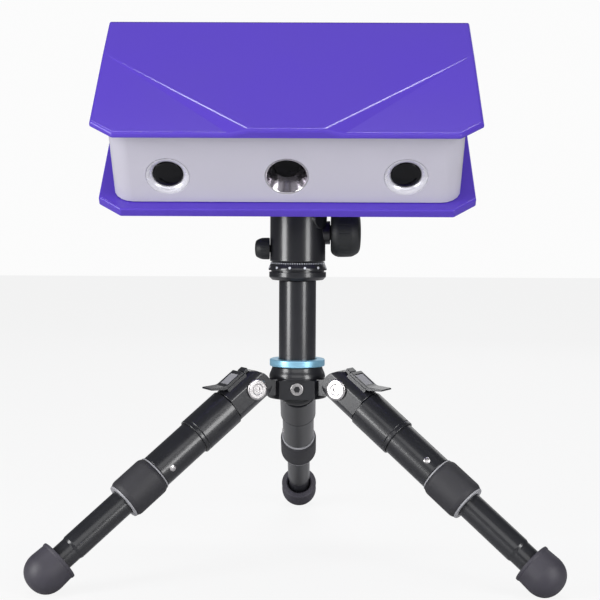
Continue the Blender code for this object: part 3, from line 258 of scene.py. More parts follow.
def finished(name, solid, place, material, body, replaced=(), angle=32, bevel=0.0):
    """Turns a solid into a named piece in its place, riding on its body."""
    shift(solid, place)
    for face in solid.faces:
        face.smooth = True
    for edge in solid.edges:
        if edge.is_manifold and edge.calc_face_angle(0) > math.radians(angle):
            edge.smooth = False
    data = bpy.data.meshes.new(name)
    solid.to_mesh(data)
    solid.free()
    data.materials.append(material)
    thing = bpy.data.objects.new(name, data)
    bpy.context.scene.collection.objects.link(thing)
    if bevel:
        rounding = thing.modifiers.new("soft edges", "BEVEL")
        rounding.width = bevel
        rounding.segments = 3
        rounding.limit_method = "ANGLE"
        rounding.angle_limit = math.radians(angle)
    evening = thing.modifiers.new("even shading", "WEIGHTED_NORMAL")
    evening.keep_sharp = True
    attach(thing, body)
    if replaced:
        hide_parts(*replaced)
    return thing


def dress(node, material):
    """Gives a CAD node that stays its procedural material."""
    for place in frame["nodes"][node].material_slots:
        place.material = material


# ---------------------------------------------------------------- finishes

def shaded(colour, amount):
    return (*[min(1.0, channel * amount) for channel in colour[:3]], 1.0)


def make_finish(name, colour, roughness, metallic=0.0, variation=0.08, mottle=45.0,
                grain=1400.0, relief=0.04, spread=0.05, coat=0.0, coat_roughness=0.1,
                stretch=(1, 1, 1), specular=0.5):
    """A finish with slow colour drift, uneven gloss and a fine grain on its surface."""
    material = bpy.data.materials.get(name)
    if material:
        return material
    material = bpy.data.materials.new(name)
    material.use_nodes = True
    tree = material.node_tree
    nodes = tree.nodes
    shader = nodes["Principled BSDF"]
    shader.inputs["Metallic"].default_value = metallic
    shader.inputs["Coat Weight"].default_value = coat
    shader.inputs["Coat Roughness"].default_value = coat_roughness
    shader.inputs["Specular IOR Level"].default_value = specular
    coordinates = nodes.new("ShaderNodeTexCoord")
    placing = nodes.new("ShaderNodeMapping")
    placing.inputs["Scale"].default_value = stretch
    tree.links.new(coordinates.outputs["Object"], placing.inputs["Vector"])
    drift = nodes.new("ShaderNodeTexNoise")
    drift.inputs["Scale"].default_value = mottle
    drift.inputs["Detail"].default_value = 3.0
    tree.links.new(placing.outputs["Vector"], drift.inputs["Vector"])
    ramp = nodes.new("ShaderNodeValToRGB")
    ramp.color_ramp.elements[0].position = 0.3
    ramp.color_ramp.elements[0].color = shaded(colour, 1 - variation)
    ramp.color_ramp.elements[1].position = 0.7
    ramp.color_ramp.elements[1].color = shaded(colour, 1 + variation)
    tree.links.new(drift.outputs["Fac"], ramp.inputs["Fac"])
    tree.links.new(ramp.outputs["Color"], shader.inputs["Base Color"])
    fine = nodes.new("ShaderNodeTexNoise")
    fine.inputs["Scale"].default_value = grain
    fine.inputs["Detail"].default_value = 2.0
    tree.links.new(placing.outputs["Vector"], fine.inputs["Vector"])
    gloss = nodes.new("ShaderNodeMapRange")
    gloss.inputs["From Min"].default_value = 0.3
    gloss.inputs["From Max"].default_value = 0.7
    gloss.inputs["To Min"].default_value = max(0.02, roughness - spread)
    gloss.inputs["To Max"].default_value = roughness + spread
    tree.links.new(drift.outputs["Fac"], gloss.inputs["Value"])
    tree.links.new(gloss.outputs["Result"], shader.inputs["Roughness"])
    bump = nodes.new("ShaderNodeBump")
    bump.inputs["Strength"].default_value = relief
    bump.inputs["Distance"].default_value = 0.0002
    tree.links.new(fine.outputs["Fac"], bump.inputs["Height"])
    tree.links.new(bump.outputs["Normal"], shader.inputs["Normal"])
    return material


def violet_paint():
    return make_finish("violet plastic", bpy.context.scene.scanner_case.violet, 0.7,
                       variation=0.03, mottle=14, grain=2600, relief=0.04, coat=0.6,
                       coat_roughness=0.12, specular=0.25)


def grey_wall():
    return make_finish("satin grey wall", bpy.context.scene.scanner_case.wall_grey, 0.5,
                       variation=0.02, mottle=12, grain=2200, relief=0.04, coat=0.2,
                       coat_roughness=0.2)


def black_anodised():
    return make_finish("black anodised", bpy.context.scene.stand_finish.black, 0.3,
                       variation=0.12, mottle=60, grain=3000, relief=0.03, spread=0.02,
                       coat=0.4, coat_roughness=0.14, specular=0.5)


def black_rubber():
    return make_finish("black rubber", bpy.context.scene.stand_finish.rubber, 0.5,
                       variation=0.1, mottle=120, grain=1800, relief=0.12)


def grip_grey():
    return make_finish("grey grip", bpy.context.scene.stand_finish.grip, 0.62,
                       variation=0.08, mottle=90, grain=1600, relief=0.2)


def foot_rubber():
    return make_finish("foot rubber", bpy.context.scene.stand_finish.foot, 0.55,
                       variation=0.1, mottle=70, grain=1300, relief=0.2)


def blue_metal():
    return make_finish("blue anodised", bpy.context.scene.stand_finish.collar_blue, 0.34,
                       metallic=0.55, variation=0.06, mottle=50, grain=2500, relief=0.05)


def screw_steel():
    return make_finish("screw steel", (0.62, 0.6, 0.6), 0.28, metallic=1.0, variation=0.1,
                       mottle=300, grain=2200, relief=0.08)


def polished_silver():
    return make_finish("polished silver", (0.58, 0.56, 0.59), 0.14, metallic=1.0,
                       variation=0.04, mottle=200, grain=2600, relief=0.04)


def lens_glass():
    return make_finish("lens glass", (0.002, 0.002, 0.003), 0.08, variation=0.2,
                       mottle=40, grain=800, relief=0.0, specular=0.22)


def rim_silver():
    return make_finish("rim silver", (0.66, 0.65, 0.71), 0.26, metallic=0.35, variation=0.03,
                       mottle=120, grain=2400, relief=0.04)


def window_glass():
    return make_finish("window glass", (0.002, 0.002, 0.003), 0.25, variation=0.2,
                       mottle=60, grain=900, relief=0.0, specular=0.15)


def ring_grey():
    return make_finish("ring grey", (0.32, 0.32, 0.34), 0.4, variation=0.08, mottle=100,
                       grain=2000, relief=0.08)


def mark_white():
    return make_finish("scale white", (0.6, 0.62, 0.66), 0.5, variation=0.06, mottle=300,
                       grain=2000, relief=0.05)


def black_plastic():
    return make_finish("black plastic", (0.012, 0.012, 0.013), 0.45, variation=0.12,
                       mottle=80, grain=1800, relief=0.1)


# ---------------------------------------------------------------- sizes and colours

class ScannerCase(bpy.types.PropertyGroup):
    """Sizes and colours of the scanner's case."""
    violet: bpy.props.FloatVectorProperty(
        name="Violet", description="Colour of the tray and the cover", size=3,
        default=(0.070, 0.031, 0.420), min=0, max=1, subtype="COLOR")
    wall_grey: bpy.props.FloatVectorProperty(
        name="Wall grey", description="Colour of the wall between tray and cover", size=3,
        default=(0.475, 0.460, 0.530), min=0, max=1, subtype="COLOR")
    plate_edge: bpy.props.FloatProperty(
        name="Plate edge", description="Rounding along the edges of tray and cover",
        default=1.1 * MM, min=0.2 * MM, max=2.2 * MM, unit="LENGTH")
    under_edge: bpy.props.FloatProperty(
        name="Under edge", description="Rounding along the lower edges of tray and cover",
        default=0.3 * MM, min=0.1 * MM, max=1.0 * MM, unit="LENGTH")
    lip: bpy.props.FloatProperty(
        name="Lip", description="Rounding along the upper edges of the cover",
        default=1.9 * MM, min=0.2 * MM, max=2.4 * MM, unit="LENGTH")
    crease: bpy.props.FloatProperty(
        name="Crease", description="Rounding along the fold of the cover",
        default=1.1 * MM, min=0.1 * MM, max=1.5 * MM, unit="LENGTH")
    corner_cut: bpy.props.FloatVectorProperty(
        name="Corner cut", description="Width and depth of the slanted front corners",
        size=2, default=(13.0 * MM, 10.5 * MM), min=0, unit="LENGTH")
    fold_start: bpy.props.FloatProperty(
        name="Fold start", description="Where the fold meets the cover's side edge",
        default=20.0 * MM, unit="LENGTH")
    fold_end: bpy.props.FloatProperty(
        name="Fold end", description="Half the width of the raised panel at the front",
        default=18.5 * MM, unit="LENGTH")
    fold_run: bpy.props.FloatProperty(
        name="Fold run", description="Width of the slope beside the panel at the front",
        default=11.5 * MM, unit="LENGTH")
    fold_drop: bpy.props.FloatProperty(
        name="Fold drop", description="Height of that slope at the front",
        default=2.6 * MM, unit="LENGTH")
    wall_corner: bpy.props.FloatProperty(
        name="Wall corner", description="Radius of the wall's front corners",
        default=11.5 * MM, min=3 * MM, max=20 * MM, unit="LENGTH")
    wall_edge: bpy.props.FloatProperty(
        name="Wall edge", description="Rounding along the rims of the wall",
        default=0.5 * MM, min=0, max=1 * MM, unit="LENGTH")


class StandFinish(bpy.types.PropertyGroup):
    """Sizes and colours of the stand."""
    black: bpy.props.FloatVectorProperty(
        name="Black", description="Colour of the anodised parts", size=3,
        default=(0.0125, 0.0130, 0.0160), min=0, max=1, subtype="COLOR")
    rubber: bpy.props.FloatVectorProperty(
        name="Rubber", description="Colour of the knobs", size=3,
        default=(0.0110, 0.0125, 0.0135), min=0, max=1, subtype="COLOR")
    grip: bpy.props.FloatVectorProperty(
        name="Grip", description="Colour of the twist locks", size=3,
        default=(0.026, 0.0255, 0.030), min=0, max=1, subtype="COLOR")
    foot: bpy.props.FloatVectorProperty(
        name="Foot", description="Colour of the rubber feet", size=3,
        default=(0.040, 0.037, 0.049), min=0, max=1, subtype="COLOR")
    collar_blue: bpy.props.FloatVectorProperty(
        name="Collar blue", description="Colour of the ring on the column", size=3,
        default=(0.30, 0.60, 0.80), min=0, max=1, subtype="COLOR")
    edge: bpy.props.FloatProperty(
        name="Edge", description="Rounding along the rims of turned parts",
        default=0.5 * MM, min=0.1 * MM, max=0.8 * MM, unit="LENGTH")
    knob_ribs: bpy.props.IntProperty(
        name="Knob ribs", description="Ribs round the small knob", default=18, min=6,
        max=40)
    scale_marks: bpy.props.IntProperty(
        name="Scale marks", description="Fine marks round the pan scale", default=72,
        min=12, max=144)


class StageSettings(bpy.types.PropertyGroup):
    """Camera, lamps and floor."""
    floor_size: bpy.props.FloatProperty(
        name="Floor size", description="Width of the floor", default=8.0, min=1.0,
        unit="LENGTH")
    camera_distance: bpy.props.FloatProperty(
        name="Camera distance", description="From the stand's axis to the camera",
        default=0.8048, min=0.2, unit="LENGTH")
    camera_height: bpy.props.FloatProperty(
        name="Camera height", description="Height of the camera above the floor",
        default=0.2042, min=0.0, unit="LENGTH")
    camera_side: bpy.props.FloatProperty(
        name="Camera side", description="Camera to the right of the stand's axis",
        default=0.0085, unit="LENGTH")
    camera_pitch: bpy.props.FloatProperty(
        name="Camera pitch", description="How far the camera looks down",
        default=math.radians(3.40), subtype="ANGLE")
    camera_yaw: bpy.props.FloatProperty(
        name="Camera yaw", description="How far the camera looks to the right",
        default=math.radians(-0.50), subtype="ANGLE")
    camera_roll: bpy.props.FloatProperty(
        name="Camera roll", description="Turn of the camera about its own axis",
        default=math.radians(0.25), subtype="ANGLE")
    lens: bpy.props.FloatProperty(
        name="Lens", description="Focal length", default=81.2, min=10, unit="CAMERA")
    key_power: bpy.props.FloatProperty(
        name="Key power", description="Power of the soft lamp on the left",
        default=11.0, min=0, unit="POWER")
    fill_power: bpy.props.FloatProperty(
        name="Fill power", description="Power of the soft lamp on the right",
        default=7.5, min=0, unit="POWER")
    front_power: bpy.props.FloatProperty(
        name="Front power", description="Power of the wide soft lamp behind the camera",
        default=4.0, min=0, unit="POWER")
    ceiling_power: bpy.props.FloatProperty(
        name="Ceiling power", description="Power of the lamp straight overhead",
        default=7.0, min=0, unit="POWER")
    back_power: bpy.props.FloatProperty(
        name="Back power", description="Power of the wide lamp behind the object",
        default=3.0, min=0, unit="POWER")


# ---------------------------------------------------------------- the scanner's case

class ScannerSize:
    """Sizes of the case, read from the CAD nodes."""

    def __init__(self):
        self.place = scanner_place()
        self.half_x = span("bottom_tray", self.place, 0)[1]
        self.front, self.back = span("bottom_tray", self.place, 1)
        self.tray_top = span("bottom_tray", self.place, 2)[1]
        self.cover_top = span("top_cover", self.place, 2)[1]
        self.wall_half = span("front_housing", self.place, 0)[1]
        self.wall_front, self.wall_end = span("front_housing", self.place, 1)
        self.wall_low, self.wall_high = span("front_housing", self.place, 2)
        self.panel_front, self.panel_back = span("rear_panel", self.place, 1)
        self.cover_low = self.wall_high + GAP

    def posts(self):
        """Middle of each case screw, by its name."""
        found = {}
        for name in ("front_left", "front_right", "rear_left", "rear_right"):
            node = "case_screw_" + name
            x_range = span(node, self.place, 0)
            y_range = span(node, self.place, 1)
            found[name] = (sum(x_range) / 2, sum(y_range) / 2)
        return found

    def lens(self, node):
        """Frame of a lens: z into the case, at the wall's face."""
        x_range = span(node, self.place, 0)
        z_range = span(node, self.place, 2)
        middle = (sum(x_range) / 2, self.wall_front, sum(z_range) / 2)
        return self.place @ Matrix.Translation(middle) @ ALONG_Y


def plate_outline(size, case):
    """Plan of tray and cover: a rectangle with its front corners cut."""
    cut_x, cut_y = case.corner_cut
    round_back = 1.2 * MM
    round_tip = 0.7 * MM
    return [(size.half_x, size.back, round_back), (-size.half_x, size.back, round_back),
            (-size.half_x, size.front + cut_y, round_tip),
            (cut_x - size.half_x, size.front, round_tip),
            (size.half_x - cut_x, size.front, round_tip),
            (size.half_x, size.front + cut_y, round_tip)]


class SCANNER_OT_tray(bpy.types.Operator):
    """Builds the tray under the case, with its screw recesses"""
    bl_idname = "scanner.tray"
    bl_label = "Tray"

    def execute(self, context):
        case = context.scene.scanner_case
        size = ScannerSize()
        solid = prism(plate_outline(size, case), 0, size.tray_top)
        upper, lower = rims(solid, size.tray_top)
        bevel_edges(solid, upper, case.plate_edge)
        bevel_edges(solid, lower, case.under_edge, 2)
        head_radius = 3.1 * MM
        head_deep = 2.5 * MM
        shank_radius = 1.8 * MM
        insert_radius = 6.3 * MM
        above = 7 * MM
        cutters = []
        for x, y in size.posts().values():
            recess = turned([(0, -OVERCUT, 0), (head_radius, -OVERCUT, 0),
                             (head_radius, head_deep, 0), (shank_radius, head_deep, 0),
                             (shank_radius, above, 0), (0, above, 0)], SMALL_STEPS)
            cutters.append(shift(recess, Matrix.Translation((x, y, 0))))
        insert_x = sum(span("stand_insert", size.place, 0)) / 2
        hole = rod(insert_radius, -OVERCUT, above)
        cutters.append(shift(hole, Matrix.Translation((insert_x, 0, 0))))
        solid = combined(solid, cutters)
        finished("tray", solid, size.place, violet_paint(), "scanner",
                 ["bottom_tray"])
        return {"FINISHED"}


class SCANNER_OT_cover(bpy.types.Operator):
    """Builds the cover with its folded front corners and the posts under it"""
    bl_idname = "scanner.cover"
    bl_label = "Cover"

    def execute(self, context):
        case = context.scene.scanner_case
        size = ScannerSize()
        top = size.cover_top
        solid = prism(plate_outline(size, case), size.cover_low, top)
        slope = case.fold_drop / (case.fold_start - size.front)
        solid = combined(solid, [self.corner(size, case, side, slope) for side in (-1, 1)])
        bevel_edges(solid, self.creases(solid), case.crease, 4)
        bevel_edges(solid, rims(solid, top)[0], case.lip, 8)
        bevel_edges(solid, rims(solid, top)[1], case.under_edge, 8)
        post_radius = 3.6 * MM
        bore = 1.8 * MM
        bore_end = 16.6 * MM
        post_top = size.cover_low + 0.5 * MM
        posts = []
        for x, y in size.posts().values():
            post = turned([(bore, size.wall_low, 0), (post_radius, size.wall_low, 0),
                           (post_radius, post_top, 0), (0, post_top, 0), (0, bore_end, 0),
                           (bore, bore_end, 0)], SMALL_STEPS, closed=True)
            posts.append(shift(post, Matrix.Translation((x, y, 0))))
        solid = merged(solid, *posts)
        finished("cover", solid, size.place, violet_paint(), "scanner",
                 ["top_cover"], angle=14)
        return {"FINISHED"}

    def creases(self, solid):
        """The two long, shallow ridges along the raised panel."""
        shallow = 4
        steep = math.radians(35)
        short = 20 * MM
        return [edge for edge in sharp_edges(solid, shallow)
                if edge.is_convex and edge.calc_face_angle(0) < steep
                and abs(edge.verts[0].co.x - edge.verts[1].co.x) > short]

    def corner(self, size, case, side, slope):
        """The wedge of air over one lowered front corner."""
        reach = 20 * MM
        top = size.cover_top
        start = case.fold_start
        front = size.front
        foot = case.fold_end + case.fold_run

        def height(y):
            return top - slope * (start - y)

        far_y = front - reach
        stretch = (start - far_y) / (start - front)
        crease_x = size.half_x + (case.fold_end - size.half_x) * stretch
        foot_x = size.half_x + (foot - size.half_x) * stretch
        wedge = bmesh.new()
        corners = [(size.half_x + reach, start, top), (size.half_x, start, top),
                   (crease_x, far_y, top), (foot_x, far_y, height(far_y)),
                   (size.half_x + reach, far_y, height(far_y))]
        low = [wedge.verts.new((side * x, y, z)) for x, y, z in corners]
        high = [wedge.verts.new((side * x, y, top + reach)) for x, y, _ in corners]
        outer, begin, crease, toe, end = low
        wedge.faces.new((begin, toe, crease))
        wedge.faces.new((outer, end, toe, begin))
        wedge.faces.new(high)
        wedge.faces.new((outer, begin, high[1], high[0]))
        wedge.faces.new((begin, crease, high[2], high[1]))
        wedge.faces.new((crease, toe, high[3], high[2]))
        wedge.faces.new((toe, end, high[4], high[3]))
        wedge.faces.new((end, outer, high[0], high[4]))
        bmesh.ops.recalc_face_normals(wedge, faces=wedge.faces[:])
        return wedge


class SCANNER_OT_wall(bpy.types.Operator):
    """Builds the grey wall round the front and the sides, open for its three lenses"""
    bl_idname = "scanner.wall"
    bl_label = "Wall"

    def execute(self, context):
        case = context.scene.scanner_case
        size = ScannerSize()
        thick = 2.4 * MM
        hole_radius = 11.8 * MM
        before = 2 * MM
        behind = 5 * MM
        outer = case.wall_corner
        inner = outer - thick
        half = size.wall_half
        front = size.wall_front
        points = [(half, size.wall_end, 0), (half, front, outer),
                  (-half, front, outer), (-half, size.wall_end, 0),
                  (thick - half, size.wall_end, 0), (thick - half, front + thick, inner),
                  (half - thick, front + thick, inner), (half - thick, size.wall_end, 0)]
        solid = prism(points, size.wall_low, size.wall_high)
        holes = []
        for node in ("camera_bezel_left", "projector_cone", "camera_bezel_right"):
            lens = size.place.inverted() @ size.lens(node)
            holes.append(shift(rod(hole_radius, -before, behind, ROUND_STEPS), lens))
        solid = combined(solid, holes)
        finished("wall", solid, size.place, grey_wall(), "scanner",
                 ["front_housing"], bevel=case.wall_edge)
        return {"FINISHED"}


class SCANNER_OT_back(bpy.types.Operator):
    """Builds the rear panel with its two socket openings"""
    bl_idname = "scanner.back"
    bl_label = "Rear panel"

    def execute(self, context):
        size = ScannerSize()
        solid = block((-size.wall_half, size.wall_half),
                      (size.panel_front, size.panel_back), (size.wall_low, size.wall_high))
        openings = []
        for node in ("data_socket", "power_socket"):
            x_range = span(node, size.place, 0)
            z_range = span(node, size.place, 2)
            openings.append(block((x_range[0] - GAP, x_range[1] + GAP),
                                  (size.panel_front - GAP, size.panel_back + GAP),
                                  (z_range[0], z_range[1] + GAP)))
        solid = combined(solid, openings)
        finished("rear_wall", solid, size.place, grey_wall(), "scanner",
                 ["rear_panel"], bevel=context.scene.scanner_case.wall_edge)
        return {"FINISHED"}


class SCANNER_OT_cameras(bpy.types.Operator):
    """Builds the soft rims and dark lenses of the two cameras"""
    bl_idname = "scanner.cameras"
    bl_label = "Cameras"

    def execute(self, context):
        size = ScannerSize()
        eye = 8.2 * MM
        proud = 0.26 * MM
        flange = 1.0 * MM
        seat = 0.4 * MM
        dome_foot = 2.2 * MM
        dome_rise = 1.5 * MM
        for side in ("left", "right"):
            bezel = "camera_bezel_" + side
            glass = "camera_glass_" + side
            place = size.lens(bezel)
            deep = span(bezel, place, 2)[1]
            wide = span(bezel, place, 0)[1]
            front, back = span(glass, place, 2)
            glass_wide = span(glass, place, 0)[1]
            rim = turned([(eye + 0.1 * MM, front - seat, 0.3 * MM),
                          (eye + 0.4 * MM, 1.8 * MM, 0.5 * MM),
                          (wide - 1.5 * MM, 0.3 * MM, 1.2 * MM),
                          (wide + proud, 0, 0), (wide + proud, flange, 0),
                          (wide, flange + 0.2 * MM, 0), (wide, deep, 0.3 * MM),
                          (glass_wide + 0.1 * MM, deep, 0),
                          (glass_wide + 0.1 * MM, front - seat, 0)], closed=True)
            finished("camera_rim_" + side, rim, place, rim_silver(), "scanner",
                     [bezel], angle=60)
            dome = [(eye * math.sin(math.radians(turn)),
                     dome_foot - dome_rise * math.cos(math.radians(turn)), 0)
                    for turn in range(0, 91, 9)]
            lens = turned(dome + [(eye, front - seat / 2, 0), (glass_wide, front, 0.1 * MM),
                                  (glass_wide, back, 0.1 * MM), (0, back, 0)])
            finished("camera_lens_" + side, lens, place, lens_glass(), "scanner",
                     [glass], angle=60)
        return {"FINISHED"}


class SCANNER_OT_projector(bpy.types.Operator):
    """Builds the polished cone of the projector and its window"""
    bl_idname = "scanner.projector"
    bl_label = "Projector"

    def execute(self, context):
        size = ScannerSize()
        place = size.lens("projector_cone")
        deep = span("projector_cone", place, 2)[1]
        wide = span("projector_cone", place, 0)[1]
        throat = 7.4 * MM
        mouth = 11.0 * MM
        cone_deep = 9.5 * MM
        proud = 0.2 * MM
        flange = 1.0 * MM
        cone = turned([(throat, cone_deep, 0.2 * MM), (mouth, 0.15 * MM, 0.25 * MM),
                       (mouth + proud, 0, 0.05 * MM), (wide + proud, 0, 0),
                       (wide + proud, flange, 0), (wide, flange + proud, 0),
                       (wide, deep, 0.3 * MM), (throat, deep, 0)], closed=True)
        finished("projector_cone_ring", cone, place, polished_silver(), "scanner",
                 ["projector_cone"], angle=50)
        dress("projector_glass", window_glass())
        return {"FINISHED"}


class SCANNER_OT_screws(bpy.types.Operator):
    """Builds the four case screws under the tray"""
    bl_idname = "scanner.screws"
    bl_label = "Case screws"

    def execute(self, context):
        size = ScannerSize()
        head = 2.8 * MM
        head_high = 2.2 * MM
        shank = 1.5 * MM
        socket_radius = 1.25 * MM
        socket_deep = 1.3 * MM
        for name, (x, y) in size.posts().items():
            node = "case_screw_" + name
            length = span(node, size.place, 2)[1]
            screw = turned([(0, 0, 0), (head, 0, 0.35 * MM), (head, head_high, 0.2 * MM),
                            (shank, head_high, 0), (shank, length, 0.3 * MM),
                            (0, length, 0)], SMALL_STEPS)
            screw = combined(screw, [rod(socket_radius, -OVERCUT, socket_deep, 6)])
            place = size.place @ Matrix.Translation((x, y, 0))
            finished("screw_" + name, screw, place, screw_steel(), "scanner",
                     [node])
        return {"FINISHED"}


class SCANNER_OT_insides(bpy.types.Operator):
    """Finishes the parts inside the case and the sockets at its back"""
    bl_idname = "scanner.insides"
    bl_label = "Insides"

    def execute(self, context):
        board = make_finish("circuit board", (0.015, 0.11, 0.045), 0.42, variation=0.35,
                            mottle=220, grain=900, relief=0.1, coat=0.3)
        brass = make_finish("brass", (0.75, 0.52, 0.2), 0.3, metallic=1.0, variation=0.08,
                            mottle=150, grain=2000, relief=0.08)
        aluminium = make_finish("milled aluminium", (0.6, 0.61, 0.63), 0.36, metallic=1.0,
                                variation=0.06, mottle=60, grain=1500, relief=0.12,
                                stretch=(0.2, 1, 1))
        tin = make_finish("socket steel", (0.66, 0.66, 0.67), 0.3, metallic=1.0,
                          variation=0.06, mottle=120, grain=2000, relief=0.06)
        dress("main_board", board)
        dress("stand_insert", brass)
        dress("platform_stud", screw_steel())
        dress("data_socket", tin)
        dress("power_socket", black_plastic())
        dress("optical_rail", aluminium)
        dress("projector_engine", aluminium)
        dress("projector_barrel", black_plastic())
        for side in ("left", "right"):
            dress("camera_module_" + side, black_plastic())
        return {"FINISHED"}


# ---------------------------------------------------------------- ball head and column

class STAND_OT_platform(bpy.types.Operator):
    """Builds the round platform under the case and the ball with its stem"""
    bl_idname = "stand.platform"
    bl_label = "Platform and ball"

    def execute(self, context):
        size = ScannerSize()
        stem = Vector(joint("scanner_swivel")["axis"]).normalized()
        place = axes(Vector(joint("ball_tilt")["pos_m"]), Vector((1, 0, 0)), stem)
        low, high = span("camera_platform", place, 2)
        wide = span("camera_platform", place, 0)[1]
        stud_hole = 3.3 * MM
        stud_floor = high - 3.9 * MM
        groove = wide - 0.5 * MM
        stem_hole = 5.3 * MM
        stem_seat = low + 3.7 * MM
        disc = turned([(0, stud_floor, 0), (stud_hole, stud_floor, 0),
                       (stud_hole, high, 0), (wide, high, 0.6 * MM),
                       (wide, high - 2.4 * MM, 0.2 * MM), (groove, high - 2.8 * MM, 0.1 * MM),
                       (groove, high - 3.4 * MM, 0.1 * MM), (wide, high - 3.8 * MM, 0.2 * MM),
                       (wide, low, 1.0 * MM), (stem_hole, low, 0.2 * MM),
                       (stem_hole, stem_seat, 0), (0, stem_seat, 0)])
        finished("platform", disc, place, black_anodised(), "scanner",
                 ["camera_platform"])
        ball_radius = span("ball_stem", place, 0)[1]
        stem_high = span("ball_stem", place, 2)[1]
        ball = bmesh.new()
        bmesh.ops.create_uvsphere(ball, u_segments=64, v_segments=48, radius=ball_radius)
        stem_radius = 5 * MM
        stem_low = 8 * MM
        ball = combined(ball, [rod(stem_radius, stem_low, stem_high, 64, 0.3 * MM)], "UNION")
        steel = make_finish("ball steel", (0.36, 0.36, 0.38), 0.2, metallic=1.0,
                            variation=0.05, mottle=80, grain=2400, relief=0.03)
        finished("ball", ball, place, steel, "ball", ["ball_stem"])
        return {"FINISHED"}


class STAND_OT_head(bpy.types.Operator):
    """Builds the round body that holds the ball"""
    bl_idname = "stand.head"
    bl_label = "Ball head body"

    def execute(self, context):
        edge = context.scene.stand_finish.edge
        place = head_place()
        low, high = span("ball_head_body", place, 2)
        wide = span("ball_head_body", place, 0)[1]
        ball = span("ball_stem", place, 0)[1] + GAP
        mouth = math.sqrt(ball ** 2 - high ** 2)
        cup_room = span("pressure_cup", place, 2)[0] - 2 * GAP
        post = 7.1 * MM
        post_room = low + 12.6 * MM
        profile = [(0, cup_room, 0), (ball, cup_room, 0), (ball, 0, 0)]
        profile += [(ball * math.cos(math.radians(turn)), ball * math.sin(math.radians(turn)), 0)
                    for turn in (8, 16)]
        profile += [(mouth, high, 0.2 * MM), (wide, high, 1.2 * MM), (wide, low, edge),
                    (post, low, 0), (post, post_room, 0), (0, post_room, 0)]
        body = turned(profile)
        knob = Vector(joint("lock_knob_turn")["pos_m"]) - place.translation
        pan = Vector(joint("pan_knob_turn")["pos_m"]) - place.translation
        inside = 6 * MM
        outside = 20 * MM
        lock_hole = rod(4.8 * MM, inside, outside)
        shift(lock_hole, Matrix.Translation((0, 0, knob.z)) @ ALONG_X)
        pan_hole = rod(2.5 * MM, -outside, -inside)
        shift(pan_hole, Matrix.Translation((0, 0, pan.z)) @ ALONG_X)
        root = 12 * MM
        boss = rod(7.0 * MM, root, 19.2 * MM, 64, 0.5 * MM)
        shift(boss, Matrix.Translation((0, 0, knob.z)) @ ALONG_X)
        cap_turn = Matrix.Rotation(math.radians(-38), 4, "Z")
        cap_rise = 8.6 * MM
        cap = rod(6.2 * MM, root, 17.4 * MM, 64, 0.7 * MM)
        shift(cap, Matrix.Translation((0, 0, knob.z + cap_rise)) @ cap_turn @ ALONG_X)
        body = combined(body, [boss, cap], "UNION")
        body = combined(body, [lock_hole, pan_hole])
        finished("head_body", body, place, black_anodised(), "head",
                 ["ball_head_body"])
        dress("pressure_cup", black_plastic())
        return {"FINISHED"}


class STAND_OT_knobs(bpy.types.Operator):
    """Builds the large lock knob and the small pan knob"""
    bl_idname = "stand.knobs"
    bl_label = "Knobs"

    def execute(self, context):
        self.lock_knob()
        self.pan_knob(context)
        return {"FINISHED"}

    def lock_knob(self):
        place = Matrix.Translation(Vector(joint("lock_knob_turn")["pos_m"]))
        place.translation.x = 0
        place = place @ ALONG_X
        tip, end = span("lock_knob", place, 2)
        wide = span("lock_knob", place, 1)[1]
        start = end - 17.8 * MM
        neck = 4.5 * MM
        knob = turned([(0, tip, 0), (neck, tip, 0.3 * MM), (neck, start, 0),
                       (wide - 3.0 * MM, start, 1.2 * MM),
                       (wide - 0.3 * MM, start + 2.4 * MM, 2.4 * MM),
                       (wide, start + 8.0 * MM, 4.0 * MM),
                       (wide - 0.5 * MM, end - 4.4 * MM, 3.0 * MM),
                       (wide * 0.78, end - 0.7 * MM, 2.2 * MM), (wide * 0.4, end, 2.5 * MM),
                       (0, end, 0)])
        flutes = []
        count = 20
        for step in range(count):
            flute = turned([(0, start + 3.6 * MM, 0), (0.55 * MM, start + 4.4 * MM, 0),
                            (0.55 * MM, end - 6.4 * MM, 0), (0, end - 5.6 * MM, 0)], 16)
            turn = Matrix.Rotation(math.tau * step / count, 4, "Z")
            flutes.append(shift(flute, turn @ Matrix.Translation((wide + 0.2 * MM, 0, 0))))
        knob = combined(knob, flutes)
        finished("lock_knob_grip", knob, place, black_rubber(), "lock_knob_body",
                 ["lock_knob"], angle=40)

    def pan_knob(self, context):
        place = Matrix.Translation(Vector(joint("pan_knob_turn")["pos_m"]))
        place.translation.x = 0
        place = place @ Matrix.Rotation(math.pi, 4, "Z") @ ALONG_X
        tip, end = span("pan_knob", place, 2)
        wide = span("pan_knob", place, 1)[1]
        start = end - 8.8 * MM
        knob = turned([(0, tip, 0), (2.2 * MM, tip, 0.2 * MM), (2.2 * MM, start, 0),
                       (wide, start, 0.3 * MM), (wide - 0.1 * MM, end - 3.0 * MM, 2.4 * MM),
                       (wide * 0.66, end - 0.3 * MM, 2.0 * MM),
                       (0, end, 0)])
        count = context.scene.stand_finish.knob_ribs
        grooves = []
        for step in range(count):
            groove = turned([(0, start + 1.0 * MM, 0), (0.4 * MM, start + 1.4 * MM, 0),
                             (0.4 * MM, end - 3.6 * MM, 0), (0, end - 3.2 * MM, 0)], 12)
            turn = Matrix.Rotation(math.tau * step / count, 4, "Z")
            grooves.append(shift(groove, turn @ Matrix.Translation((wide, 0, 0))))
        knob = combined(knob, grooves)
        finished("pan_knob_grip", knob, place, black_rubber(), "pan_knob_body",
                 ["pan_knob"], angle=40)


